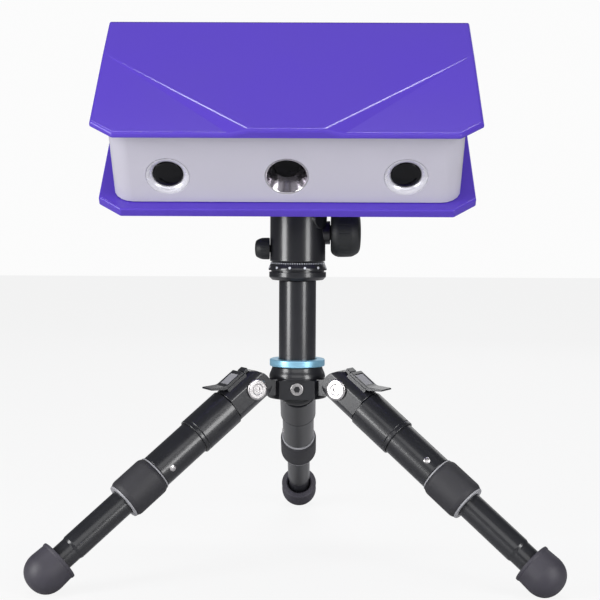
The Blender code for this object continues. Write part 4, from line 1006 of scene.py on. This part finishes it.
class STAND_OT_pan_base(bpy.types.Operator):
    """Builds the turning base with its degree scale"""
    bl_idname = "stand.pan_base"
    bl_label = "Pan base"

    def execute(self, context):
        style = context.scene.stand_finish
        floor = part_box("pan_base")[0].z
        axis = Vector(joint("head_pan")["pos_m"])
        place = Matrix.Translation((axis.x, axis.y, floor))
        wide = span("pan_base", place, 0)[1]
        post_top = span("pan_base", place, 2)[1]
        flange = 4.8 * MM
        groove = 1.0 * MM
        ring_top = 10.8 * MM
        base = turned([(0, 7.3 * MM, 0), (4.8 * MM, 7.3 * MM, 0), (4.8 * MM, 0, 0.2 * MM),
                       (wide - 2.2 * MM, 0, 0.3 * MM), (wide - 0.4 * MM, 1.8 * MM, 0.4 * MM),
                       (wide - 0.4 * MM, flange, 0.3 * MM),
                       (wide - 1.6 * MM, flange, 0), (wide - 1.6 * MM, flange + groove, 0),
                       (wide - 0.05 * MM, flange + groove, 0.2 * MM),
                       (wide - 0.05 * MM, flange + groove + 1.2 * MM, 0.5 * MM),
                       (wide - 1.2 * MM, ring_top - 1.1 * MM, 0.3 * MM),
                       (wide - 1.5 * MM, ring_top, 0.3 * MM),
                       (6.8 * MM, ring_top, 0), (6.8 * MM, post_top, 0.4 * MM),
                       (0, post_top, 0)])
        finished("turning_base", base, place, black_anodised(), "stand",
                 ["pan_base"])
        self.marks(style, place, wide, flange + groove)
        return {"FINISHED"}

    def marks(self, style, place, wide, low):
        """Fine lines and larger dots printed round the ring."""
        count = style.scale_marks
        high = low + 4.2 * MM
        face = wide - 1.25 * MM
        lines = block((-0.14 * MM, 0.14 * MM), (-face - 0.12 * MM, 0.4 * MM - face),
                      (high - 0.9 * MM, high + 0.4 * MM))
        bmesh.ops.spin(lines, geom=lines.verts[:] + lines.edges[:] + lines.faces[:],
                       cent=(0, 0, 0), axis=(0, 0, 1), angle=math.tau, steps=count,
                       use_duplicate=True, use_merge=False)
        bmesh.ops.remove_doubles(lines, verts=lines.verts[:], dist=1e-6)
        finished("scale_lines", lines, place, mark_white(), "stand")
        dots = bmesh.new()
        radius = 0.75 * MM
        spot = Matrix.Rotation(math.radians(15), 4, "Z")
        spot = spot @ Matrix.Translation((0, 0.25 * MM - wide, low + 1.7 * MM)) @ ALONG_Y
        bmesh.ops.create_cone(dots, cap_ends=True, segments=16, radius1=radius,
                              radius2=radius, depth=0.44 * MM, matrix=spot)
        bmesh.ops.spin(dots, geom=dots.verts[:] + dots.edges[:] + dots.faces[:],
                       cent=(0, 0, 0), axis=(0, 0, 1), angle=math.tau,
                       steps=12, use_duplicate=True, use_merge=False)
        bmesh.ops.remove_doubles(dots, verts=dots.verts[:], dist=1e-6)
        finished("scale_dots", dots, place, mark_white(), "stand")


class STAND_OT_column(bpy.types.Operator):
    """Builds the column and the blue ring on it"""
    bl_idname = "stand.column"
    bl_label = "Column and ring"

    def execute(self, context):
        edge = context.scene.stand_finish.edge
        axis = Vector(joint("head_pan")["pos_m"])
        place = Matrix.Translation((axis.x, axis.y, 0))
        low, stud_top = span("column", place, 2)
        wide = span("column", place, 0)[1]
        top = stud_top - 7.0 * MM
        bore = 6.4 * MM
        stud = 4.5 * MM
        tube = turned([(0, top - 3 * MM, 0), (bore, top - 3 * MM, 0), (bore, low, 0),
                       (wide, low, edge), (wide, top, edge), (stud, top, 0),
                       (stud, stud_top, 0.5 * MM), (0, stud_top, 0)])
        finished("column_tube", tube, place, black_anodised(), "stand",
                 ["column"])
        low, high = span("blue_collar", place, 2)
        outer = span("blue_collar", place, 0)[1]
        inner = wide + GAP
        ring = turned([(inner, low, 0.2 * MM), (outer, low, 0.5 * MM),
                       (outer, high, 0.9 * MM), (inner, high, 0.4 * MM)], closed=True)
        finished("blue_ring", ring, place, blue_metal(), "stand",
                 ["blue_collar"])
        return {"FINISHED"}


# ---------------------------------------------------------------- hub

class STAND_OT_hub(bpy.types.Operator):
    """Builds the bell-shaped hub with its lugs, its set screw and the plug below"""
    bl_idname = "stand.hub"
    bl_label = "Hub"

    def execute(self, context):
        pivot = Vector(joint("leg_fold_back")["pos_m"])
        axis = Vector(joint("head_pan")["pos_m"])
        place = Matrix.Translation((axis.x, axis.y, pivot.z))
        reach = (pivot - place.translation).length
        self.bell(place, reach)
        self.set_screw(place)
        self.plug(place)
        return {"FINISHED"}

    def bell(self, place, reach):
        low = -7.4 * MM
        top = 11.1 * MM
        waist = 4.0 * MM
        flat = 14.6 * MM
        block_radius = 17.6 * MM
        bore = span("column", place, 0)[1] + GAP
        ledge = -4.5 * MM
        plug_bore = 6.1 * MM
        hub = turned([(bore, top, 0.2 * MM), (bore, ledge, 0), (plug_bore, ledge, 0),
                      (plug_bore, low, 0), (block_radius, low, 0.6 * MM),
                      (block_radius, waist - 0.4 * MM, 0.3 * MM), (16.2 * MM, waist, 0.3 * MM),
                      (16.7 * MM, waist + 0.6 * MM, 0.3 * MM),
                      (16.7 * MM, waist + 2.2 * MM, 1.2 * MM),
                      (15.2 * MM, top - 1.6 * MM, 1.2 * MM), (14.8 * MM, top, 0.5 * MM)],
                     closed=True)
        slabs = []
        wide = block_radius + 2 * MM
        for azimuth in (30, 150, 270):
            slab = block((flat, wide), (-wide, wide), (low - 2 * MM, waist - 0.1 * MM))
            slabs.append(shift(slab, Matrix.Rotation(math.radians(azimuth), 4, "Z")))
        hub = combined(hub, slabs)
        lugs = []
        holes = []
        eye = 6.8 * MM
        stop = 10.4 * MM
        half = 4.5 * MM
        inner = flat - reach
        for side in SIDES:
            across = leg_place(side)
            outward = Vector((across.col[0].x, across.col[0].y, 0)).normalized()
            upright = axes(across.translation - place.translation, outward, -across.col[1].xyz)
            root = prism([(inner, -5.0 * MM, 0), (0, -5.0 * MM, 0), (0, 4.4 * MM, 0),
                          (inner, 4.4 * MM, 0)], -half, half)
            ring = turned([(0, -half, 0), (eye, -half, 0.3 * MM), (eye, half, 0.3 * MM),
                           (0, half, 0)], 64)
            lug = combined(root, [ring], "UNION")
            tooth = self.tooth(eye, stop, half)
            lug = combined(lug, [tooth], "UNION")
            lugs.append(shift(lug, upright))
            holes.append(shift(rod(PIVOT_BORE, -2 * half, 2 * half), upright))
        hub = combined(hub, lugs, "UNION")
        hub = combined(hub, holes)
        finished("hub_block", hub, place, black_anodised(), "stand",
                 ["hub"], angle=38)

    def tooth(self, eye, stop, half):
        """The stop that the leg's tab bears on."""
        start = math.radians(78)
        end = math.radians(116)
        points = [(0.6 * eye * math.cos(start), 0.6 * eye * math.sin(start), 0)]
        for step in range(7):
            turn = start + (end - start) * step / 6
            points.append((stop * math.cos(turn), stop * math.sin(turn), 0))
        points.append((0.6 * eye * math.cos(end), 0.6 * eye * math.sin(end), 0))
        return prism(points, -half, half)

    def set_screw(self, place):
        x_range = span("hub_set_screw", place, 0)
        z_range = span("hub_set_screw", place, 2)
        y_range = span("hub_set_screw", place, 1)
        centre = (sum(x_range) / 2, y_range[0], sum(z_range) / 2)
        wide = (x_range[1] - x_range[0]) / 2
        length = y_range[1] - y_range[0]
        screw = turned([(0, 0, 0), (wide, 0, 0.35 * MM), (wide, 1.0 * MM, 0.1 * MM),
                        (2.2 * MM, 1.0 * MM, 0), (2.2 * MM, length, 0.2 * MM), (0, length, 0)],
                       SMALL_STEPS)
        socket_radius = 2.0 * MM
        socket_deep = 2.2 * MM
        screw = combined(screw, [rod(socket_radius, -OVERCUT, socket_deep, 6)])
        finished("clamp_screw", screw, place @ Matrix.Translation(centre) @ ALONG_Y,
                 screw_steel(), "stand", ["hub_set_screw"])

    def plug(self, place):
        low, high = span("hub_plug", place, 2)
        wide = span("hub_plug", place, 0)[1]
        seat = low + 4.6 * MM
        plug = turned([(0, low, 0), (wide * 0.5, low, 1.0 * MM),
                       (wide - 1.6 * MM, low + 1.2 * MM, 1.4 * MM),
                       (wide, low + 2.9 * MM, 0.8 * MM),
                       (wide, seat, 0.2 * MM), (5.8 * MM, seat, 0), (5.8 * MM, high, 0.5 * MM),
                       (0, high, 0)])
        finished("end_plug", plug, place, black_rubber(), "stand",
                 ["hub_plug"])


# ---------------------------------------------------------------- legs

class STAND_OT_leg_heads(bpy.types.Operator):
    """Builds the forked head of each leg and its pivot bolt"""
    bl_idname = "stand.leg_heads"
    bl_label = "Leg heads"

    def execute(self, context):
        for side in SIDES:
            self.head(side)
            self.bolt(side)
        return {"FINISHED"}

    def head(self, side):
        place = leg_place(side)
        node = "leg_head_" + side
        low, high = span(node, place, 0)
        face = 9.5 * MM
        wide = 10.6 * MM
        end = -low
        rail_top = span(node, place, 2)[1]
        barrel = shift(rod(wide, low, high, ROUND_STEPS, 0.5 * MM), ALONG_X)
        reach = 20 * MM
        outline = [(reach, -reach, 0), (reach, reach, 0), (0, reach, 0)]
        outline += [(end * math.cos(math.radians(turn)), end * math.sin(math.radians(turn)), 0)
                    for turn in range(90, 271, 6)]
        outline += [(0, -reach, 0)]
        upright = Matrix.Rotation(math.radians(90), 4, "X")
        cheeks = shift(prism(outline, -face, face), upright)
        head = combined(barrel, [cheeks], "INTERSECT")
        rail = block((-1.0 * MM, 13.4 * MM), (-6 * MM, 6 * MM),
                     (6.8 * MM, rail_top - 0.6 * MM))
        head = combined(head, [rail], "UNION")
        fork = block((-reach, 10.4 * MM), (-4.8 * MM, 4.8 * MM), (-reach, reach))
        bore = shift(rod(PIVOT_BORE, -reach, reach), upright)
        tube_radius = 8.1 * MM
        tube_start = 11.3 * MM
        beyond = 19 * MM
        socket = shift(rod(tube_radius, tube_start, beyond, 64), ALONG_X)
        head = combined(head, [fork, bore, socket])
        finished("leg_fork_" + side, head, place, black_anodised(), "leg_" + side,
                 [node], angle=34)

    def bolt(self, side):
        place = leg_place(side)
        node = "pivot_bolt_" + side
        end = span(node, place, 1)[1]
        wide = span(node, place, 2)[1]
        face = end - 1.6 * MM
        half = [(3.0 * MM, 0, 0), (3.0 * MM, face, 0), (wide, face, 0.15 * MM),
                (wide, end - 0.5 * MM, 0.3 * MM), (wide - 0.9 * MM, end, 0.3 * MM),
                (3.4 * MM, end, 0.15 * MM), (3.0 * MM, end - 0.5 * MM, 0.1 * MM),
                (0, end - 0.5 * MM, 0)]
        profile = [(radius, -height, rounding) for radius, height, rounding in half[:0:-1]]
        bolt = turned(profile + half[1:], 64)
        socket_radius = 1.9 * MM
        socket_deep = 1.3 * MM
        bolt = combined(bolt, [rod(socket_radius, sign * (end + OVERCUT),
                                   sign * (end - socket_deep), 6) for sign in (-1, 1)])
        upright = Matrix.Rotation(math.radians(-90), 4, "X")
        finished("pivot_screw_" + side, bolt, place @ upright, screw_steel(), "leg_" + side,
                 [node])


class STAND_OT_tabs(bpy.types.Operator):
    """Builds the pull tab on each leg head, with a bare plate on it"""
    bl_idname = "stand.tabs"
    bl_label = "Angle tabs"

    def execute(self, context):
        for side in SIDES:
            self.tab(side)
        return {"FINISHED"}

    def tab(self, side):
        place = leg_place(side)
        node = "angle_tab_" + side
        low_u, high_u = span(node, place, 0)
        half = span(node, place, 1)[1]
        top = span(node, place, 2)[1]
        low = 11.0 * MM
        high = 12.7 * MM
        end = 13.8 * MM
        lip = 0.7 * MM
        tip = high_u - 5.2 * MM
        peak = top - 5.3 * MM
        back = low_u + 5.2 * MM
        outline = [(back, low, 0.3 * MM), (back, high, 0.6 * MM),
                   (end - lip, high, 1.2 * MM), (tip - lip, peak, 0.3 * MM),
                   (tip, peak - lip, 0.3 * MM), (end + lip, low, 1.2 * MM)]
        upright = Matrix.Rotation(math.radians(90), 4, "X")
        tab = shift(prism(outline, -half, half), upright)
        window = block((back + 2.4 * MM, end - 2.4 * MM), (-half + 1.4 * MM, half - 1.4 * MM),
                       (high - 0.6 * MM, high + 2 * MM))
        tab = combined(tab, [window])
        lean = 1 / math.tan(math.radians(75) + math.radians(37.1))
        nose_low = 7.1 * MM
        nose_high = 11.6 * MM
        nose = [(nose_low * lean, nose_low, 0), (nose_low * lean + 3.2 * MM, nose_low, 0),
                (nose_high * lean + 3.2 * MM, nose_high, 0), (nose_high * lean, nose_high, 0)]
        nose = shift(prism(nose, -3.8 * MM, 3.8 * MM), upright)
        tab = combined(tab, [nose], "UNION")
        finished("tab_" + side, tab, place, black_anodised(), "tab_" + side,
                 [node], bevel=0.25 * MM)
        plate = block((back + 2.7 * MM, end - 2.7 * MM), (-half + 1.7 * MM, half - 1.7 * MM),
                      (high - 0.58 * MM, high - 0.22 * MM))
        finished("tab_plate_" + side, plate, place, ring_grey(), "tab_" + side,
                 bevel=0.1 * MM)


class STAND_OT_tubes(bpy.types.Operator):
    """Builds the sleeve, the upper tube and the lower tube of each leg"""
    bl_idname = "stand.tubes"
    bl_label = "Leg tubes"

    def execute(self, context):
        for side in SIDES:
            self.sleeve(side)
            self.upper(side)
            self.lower(side)
        return {"FINISHED"}

    def sleeve(self, side):
        place = leg_place(side) @ ALONG_X
        node = "sleeve_" + side
        start, end = span(node, place, 2)
        outer = span(node, place, 0)[1]
        inner = outer - 0.8 * MM
        lip = end - 2.4 * MM
        sleeve = turned([(inner, start, 0), (outer, start, 0.4 * MM),
                         (outer, lip - 0.3 * MM, 0.15 * MM), (outer - 0.35 * MM, lip, 0.1 * MM),
                         (outer, lip + 0.3 * MM, 0.15 * MM), (outer, end, 0.4 * MM),
                         (inner, end, 0.2 * MM)], closed=True)
        finished("sleeve_tube_" + side, sleeve, place, black_anodised(), "leg_" + side,
                 [node])

    def upper(self, side):
        place = leg_place(side) @ ALONG_X
        node = "upper_tube_" + side
        start, end = span(node, place, 2)
        outer = 10.2 * MM
        shoulder = 17.3 * MM
        nose = span("twist_lock_" + side, place, 2)[0] - GAP
        spigot = 7.8 * MM
        tube = turned([(spigot - 1.3 * MM, start, 0), (spigot, start, 0.3 * MM),
                       (spigot, shoulder, 0), (outer, shoulder, 0.3 * MM),
                       (outer, nose, 0.4 * MM), (9.1 * MM, nose, 0), (9.1 * MM, end, 0.3 * MM),
                       (7.9 * MM, end, 0), (7.9 * MM, nose, 0), (8.9 * MM, nose - 1.3 * MM, 0),
                       (8.9 * MM, shoulder + 2.6 * MM, 0),
                       (spigot - 1.3 * MM, shoulder + 1.3 * MM, 0)], closed=True)
        finished("leg_tube_" + side, tube, place, black_anodised(), "leg_" + side,
                 [node])
        turns = {"left": 95.0, "right": -55.0, "back": 95.0}
        self.rivet("tube_rivet_" + side, side, 67.5 * MM, outer, turns[side], 1.9 * MM)

    def rivet(self, name, side, along, radius, turn, size):
        """A small domed rivet on the side of a tube."""
        head = turned([(0, -0.5 * MM, 0), (size, -0.5 * MM, 0), (size, 0.1 * MM, 0.15 * MM),
                       (size * 0.6, 0.42 * MM, 0.5 * MM), (0, 0.5 * MM, 0)], 32)
        place = leg_place(side) @ Matrix.Translation((along, 0, 0))
        place = place @ Matrix.Rotation(math.radians(-turn), 4, "X")
        place = place @ Matrix.Translation((0, 0, radius))
        finished(name, head, place, screw_steel(), "leg_" + side)

    def lower(self, side):
        place = leg_place(side) @ ALONG_X
        node = "lower_tube_" + side
        start, end = span(node, place, 2)
        guide = span(node, place, 0)[1]
        outer = 7.6 * MM
        bore = 6.4 * MM
        guide_end = start + 5 * MM
        tube = turned([(bore, start, 0), (guide, start, 0.3 * MM), (guide, guide_end, 0),
                       (outer, guide_end + 0.3 * MM, 0), (outer, end - 20.0 * MM, 0.3 * MM),
                       (outer - 0.5 * MM, end - 18.6 * MM, 0.3 * MM),
                       (outer - 0.5 * MM, end, 0.2 * MM), (bore, end, 0)], closed=True)
        finished("lower_leg_tube_" + side, tube, place, black_anodised(),
                 "lower_leg_" + side, [node])


class STAND_OT_locks(bpy.types.Operator):
    """Builds the twist lock of each leg, with its two pale rings"""
    bl_idname = "stand.locks"
    bl_label = "Twist locks"

    def execute(self, context):
        for side in SIDES:
            place = leg_place(side) @ ALONG_X
            node = "twist_lock_" + side
            start, end = span(node, place, 2)
            outer = span(node, place, 0)[1]
            inner = 9.4 * MM
            lip = 7.9 * MM
            nose_end = end - 2.3 * MM
            grip = turned([(inner, start + 0.9 * MM, 0),
                           (outer - 1.3 * MM, start + 0.9 * MM, 0.2 * MM),
                           (outer, start + 2.6 * MM, 1.4 * MM), (outer, end - 2.6 * MM, 1.4 * MM),
                           (outer - 1.3 * MM, end - 0.9 * MM, 0.2 * MM),
                           (lip, end - 0.9 * MM, 0), (lip, nose_end, 0), (inner, nose_end, 0)],
                          closed=True)
            finished("twist_grip_" + side, grip, place, grip_grey(), "lock_" + side,
                     [node], angle=40)
            upper = turned([(inner, start, 0.1 * MM), (outer - 1.2 * MM, start, 0.2 * MM),
                            (outer - 0.9 * MM, start + 0.9 * MM, 0.1 * MM),
                            (inner, start + 0.9 * MM, 0)], closed=True)
            finished("upper_ring_" + side, upper, place, ring_grey(), "lock_" + side)
            lower = turned([(lip, end - 0.9 * MM, 0), (outer - 0.9 * MM, end - 0.9 * MM, 0.1 * MM),
                            (outer - 1.2 * MM, end, 0.2 * MM), (lip, end, 0.1 * MM)], closed=True)
            finished("lower_ring_" + side, lower, place, ring_grey(), "lock_" + side)
        return {"FINISHED"}


class STAND_OT_feet(bpy.types.Operator):
    """Builds the rubber foot of each leg, flat where it stands"""
    bl_idname = "stand.feet"
    bl_label = "Feet"

    def execute(self, context):
        for side in SIDES:
            self.foot(side)
        return {"FINISHED"}

    def foot(self, side):
        leg = leg_place(side)
        place = leg @ ALONG_X
        node = "foot_" + side
        start = span(node, place, 2)[0]
        wide = span(node, leg, 1)[1]
        centre = start + 8.0 * MM
        socket = 7.9 * MM
        floor = start + 9.0 * MM
        rim = start - 1.5 * MM
        profile = [(0, floor, 0), (socket, floor, 0), (socket, rim + 0.8 * MM, 0.3 * MM),
                   (socket + 0.9 * MM, rim, 0.3 * MM), (wide - 0.1 * MM, rim, 0.5 * MM),
                   (wide - 0.1 * MM, rim + 1.6 * MM, 0.3 * MM),
                   (wide - 0.5 * MM, rim + 2.1 * MM, 0.2 * MM)]
        fullness = 0.92
        for turn in range(0, 90, 6):
            side_share = math.cos(math.radians(turn)) ** fullness
            end_share = math.sin(math.radians(turn)) ** fullness
            profile.append(((wide - 0.1 * MM) * side_share, centre + wide * end_share, 0))
        profile.append((0, centre + wide, 0))
        foot = turned(profile)
        shift(foot, place)
        bmesh.ops.bisect_plane(foot, geom=foot.verts[:] + foot.edges[:] + foot.faces[:],
                               dist=1e-7, plane_co=(0, 0, 0), plane_no=(0, 0, 1),
                               clear_inner=True)
        cut_edges = [edge for edge in foot.edges if edge.is_boundary]
        bmesh.ops.contextual_create(foot, geom=cut_edges)
        bmesh.ops.recalc_face_normals(foot, faces=foot.faces[:])
        finished("rubber_foot_" + side, foot, Matrix.Identity(4), foot_rubber(),
                 "lower_leg_" + side, [node])


# ---------------------------------------------------------------- stage

def lamp(name, place, target, power, width, height):
    """A soft rectangular lamp that faces a point."""
    data = bpy.data.lights.new(name, "AREA")
    data.shape = "RECTANGLE"
    data.size = width
    data.size_y = height
    data.energy = power
    thing = bpy.data.objects.new(name, data)
    thing.location = place
    thing.rotation_euler = (Vector(target) - Vector(place)).to_track_quat("-Z", "Y").to_euler()
    bpy.context.scene.collection.objects.link(thing)


def floor_finish():
    """Pale floor: white to the camera apart from the object's shadow."""
    material = make_finish("pale floor", (0.6, 0.6, 0.61), 0.7, variation=0.01,
                           mottle=2, grain=40, relief=0.0, specular=0.1)
    tree = material.node_tree
    shader = tree.nodes["Principled BSDF"]
    output = tree.nodes["Material Output"]
    glow = tree.nodes.new("ShaderNodeEmission")
    glow.inputs["Color"].default_value = (1, 1, 1, 1)
    glow.inputs["Strength"].default_value = 1.0
    path = tree.nodes.new("ShaderNodeLightPath")
    share = tree.nodes.new("ShaderNodeMath")
    share.operation = "MULTIPLY"
    share.inputs[1].default_value = 0.88
    tree.links.new(path.outputs["Is Camera Ray"], share.inputs[0])
    mix = tree.nodes.new("ShaderNodeMixShader")
    tree.links.new(share.outputs["Value"], mix.inputs["Fac"])
    tree.links.new(shader.outputs["BSDF"], mix.inputs[1])
    tree.links.new(glow.outputs["Emission"], mix.inputs[2])
    tree.links.new(mix.outputs["Shader"], output.inputs["Surface"])
    return material


class STAGE_OT_stage(bpy.types.Operator):
    """Builds the floor, the lamps, the surroundings and the camera"""
    bl_idname = "stage.stage"
    bl_label = "Stage"

    def execute(self, context):
        settings = context.scene.stage_settings
        centre = Vector(joint("head_pan")["pos_m"])
        self.floor(settings, centre)
        self.lamps(settings, centre)
        self.surroundings(context)
        self.camera(context, settings, centre)
        context.scene.view_settings.view_transform = "Standard"
        return {"FINISHED"}

    def floor(self, settings, centre):
        half = settings.floor_size / 2
        sheet = bmesh.new()
        bmesh.ops.create_grid(sheet, x_segments=1, y_segments=1, size=half)
        data = bpy.data.meshes.new("floor")
        sheet.to_mesh(data)
        sheet.free()
        data.materials.append(floor_finish())
        thing = bpy.data.objects.new("floor", data)
        bpy.context.scene.collection.objects.link(thing)

    def lamps(self, settings, centre):
        target = (0, centre.y, 0.16)
        lamp("left lamp", (-0.9, centre.y - 0.6, 0.4), target, settings.key_power, 0.4, 0.8)
        lamp("right lamp", (0.75, centre.y - 0.8, 0.42), target, settings.fill_power, 0.34, 0.8)
        lamp("front lamp", (0.0, centre.y - 1.3, 0.75), (0, centre.y - 0.1, 0.2),
             settings.front_power, 1.2, 0.7)
        lamp("ceiling lamp", (0.0, centre.y - 0.02, 1.45), (0, centre.y - 0.04, 0.2),
             settings.ceiling_power, 0.84, 0.14)
        lamp("back lamp", (0.35, centre.y + 1.2, 0.7), target, settings.back_power, 1.2, 0.8)

    def surroundings(self, context):
        world = bpy.data.worlds.new("studio")
        context.scene.world = world
        world.use_nodes = True
        tree = world.node_tree
        tree.nodes.clear()
        soft = tree.nodes.new("ShaderNodeBackground")
        soft.inputs["Color"].default_value = (0.93, 0.94, 1.0, 1)
        soft.inputs["Strength"].default_value = 0.12
        white = tree.nodes.new("ShaderNodeBackground")
        white.inputs["Color"].default_value = (1, 1, 1, 1)
        white.inputs["Strength"].default_value = 0.97
        path = tree.nodes.new("ShaderNodeLightPath")
        mix = tree.nodes.new("ShaderNodeMixShader")
        output = tree.nodes.new("ShaderNodeOutputWorld")
        tree.links.new(path.outputs["Is Camera Ray"], mix.inputs["Fac"])
        tree.links.new(soft.outputs["Background"], mix.inputs[1])
        tree.links.new(white.outputs["Background"], mix.inputs[2])
        tree.links.new(mix.outputs["Shader"], output.inputs["Surface"])

    def camera(self, context, settings, centre):
        pitch, yaw, roll = settings.camera_pitch, settings.camera_yaw, settings.camera_roll
        forward = Vector((math.sin(yaw) * math.cos(pitch), math.cos(yaw) * math.cos(pitch),
                          -math.sin(pitch)))
        right = forward.cross(UP).normalized()
        above = right.cross(forward)
        level = Matrix((right, above, -forward)).transposed()
        turn = level @ Matrix.Rotation(roll, 3, "Z")
        data = bpy.data.cameras.new("camera")
        data.lens = settings.lens
        data.sensor_width = 36.0
        data.clip_start = 0.01
        data.dof.use_dof = False
        thing = bpy.data.objects.new("camera", data)
        thing.matrix_world = turn.to_4x4()
        thing.location = (settings.camera_side, centre.y - settings.camera_distance,
                          settings.camera_height)
        context.scene.collection.objects.link(thing)
        context.scene.camera = thing


# ---------------------------------------------------------------- panel and registration

OPERATORS = (
    SCANNER_OT_tray,
    SCANNER_OT_cover,
    SCANNER_OT_wall,
    SCANNER_OT_back,
    SCANNER_OT_cameras,
    SCANNER_OT_projector,
    SCANNER_OT_screws,
    SCANNER_OT_insides,
    STAND_OT_platform,
    STAND_OT_head,
    STAND_OT_knobs,
    STAND_OT_pan_base,
    STAND_OT_column,
    STAND_OT_hub,
    STAND_OT_leg_heads,
    STAND_OT_tabs,
    STAND_OT_tubes,
    STAND_OT_locks,
    STAND_OT_feet,
    STAGE_OT_stage,
)

GROUPS = {
    "scanner_case": ScannerCase,
    "stand_finish": StandFinish,
    "stage_settings": StageSettings,
}


class SCANNER_PT_pieces(bpy.types.Panel):
    """Lists the pieces that can be built"""
    bl_idname = "SCANNER_PT_pieces"
    bl_label = "Tripod Scanner"
    bl_space_type = "VIEW_3D"
    bl_region_type = "UI"
    bl_category = "Scanner"

    def draw(self, context):
        for name, group in GROUPS.items():
            settings = getattr(context.scene, name)
            for key in group.__annotations__:
                self.layout.prop(settings, key)
        for operator in OPERATORS:
            self.layout.operator(operator.bl_idname)


def register():
    for name, group in GROUPS.items():
        bpy.utils.register_class(group)
        setattr(bpy.types.Scene, name, bpy.props.PointerProperty(type=group))
    for operator in OPERATORS:
        bpy.utils.register_class(operator)
    bpy.utils.register_class(SCANNER_PT_pieces)


def unregister():
    bpy.utils.unregister_class(SCANNER_PT_pieces)
    for operator in reversed(OPERATORS):
        bpy.utils.unregister_class(operator)
    for name, group in GROUPS.items():
        delattr(bpy.types.Scene, name)
        bpy.utils.unregister_class(group)


def main():
    register()
    for operator in OPERATORS:
        area, name = operator.bl_idname.split(".")
        getattr(getattr(bpy.ops, area), name)()


if __name__ == "__main__":
    main()
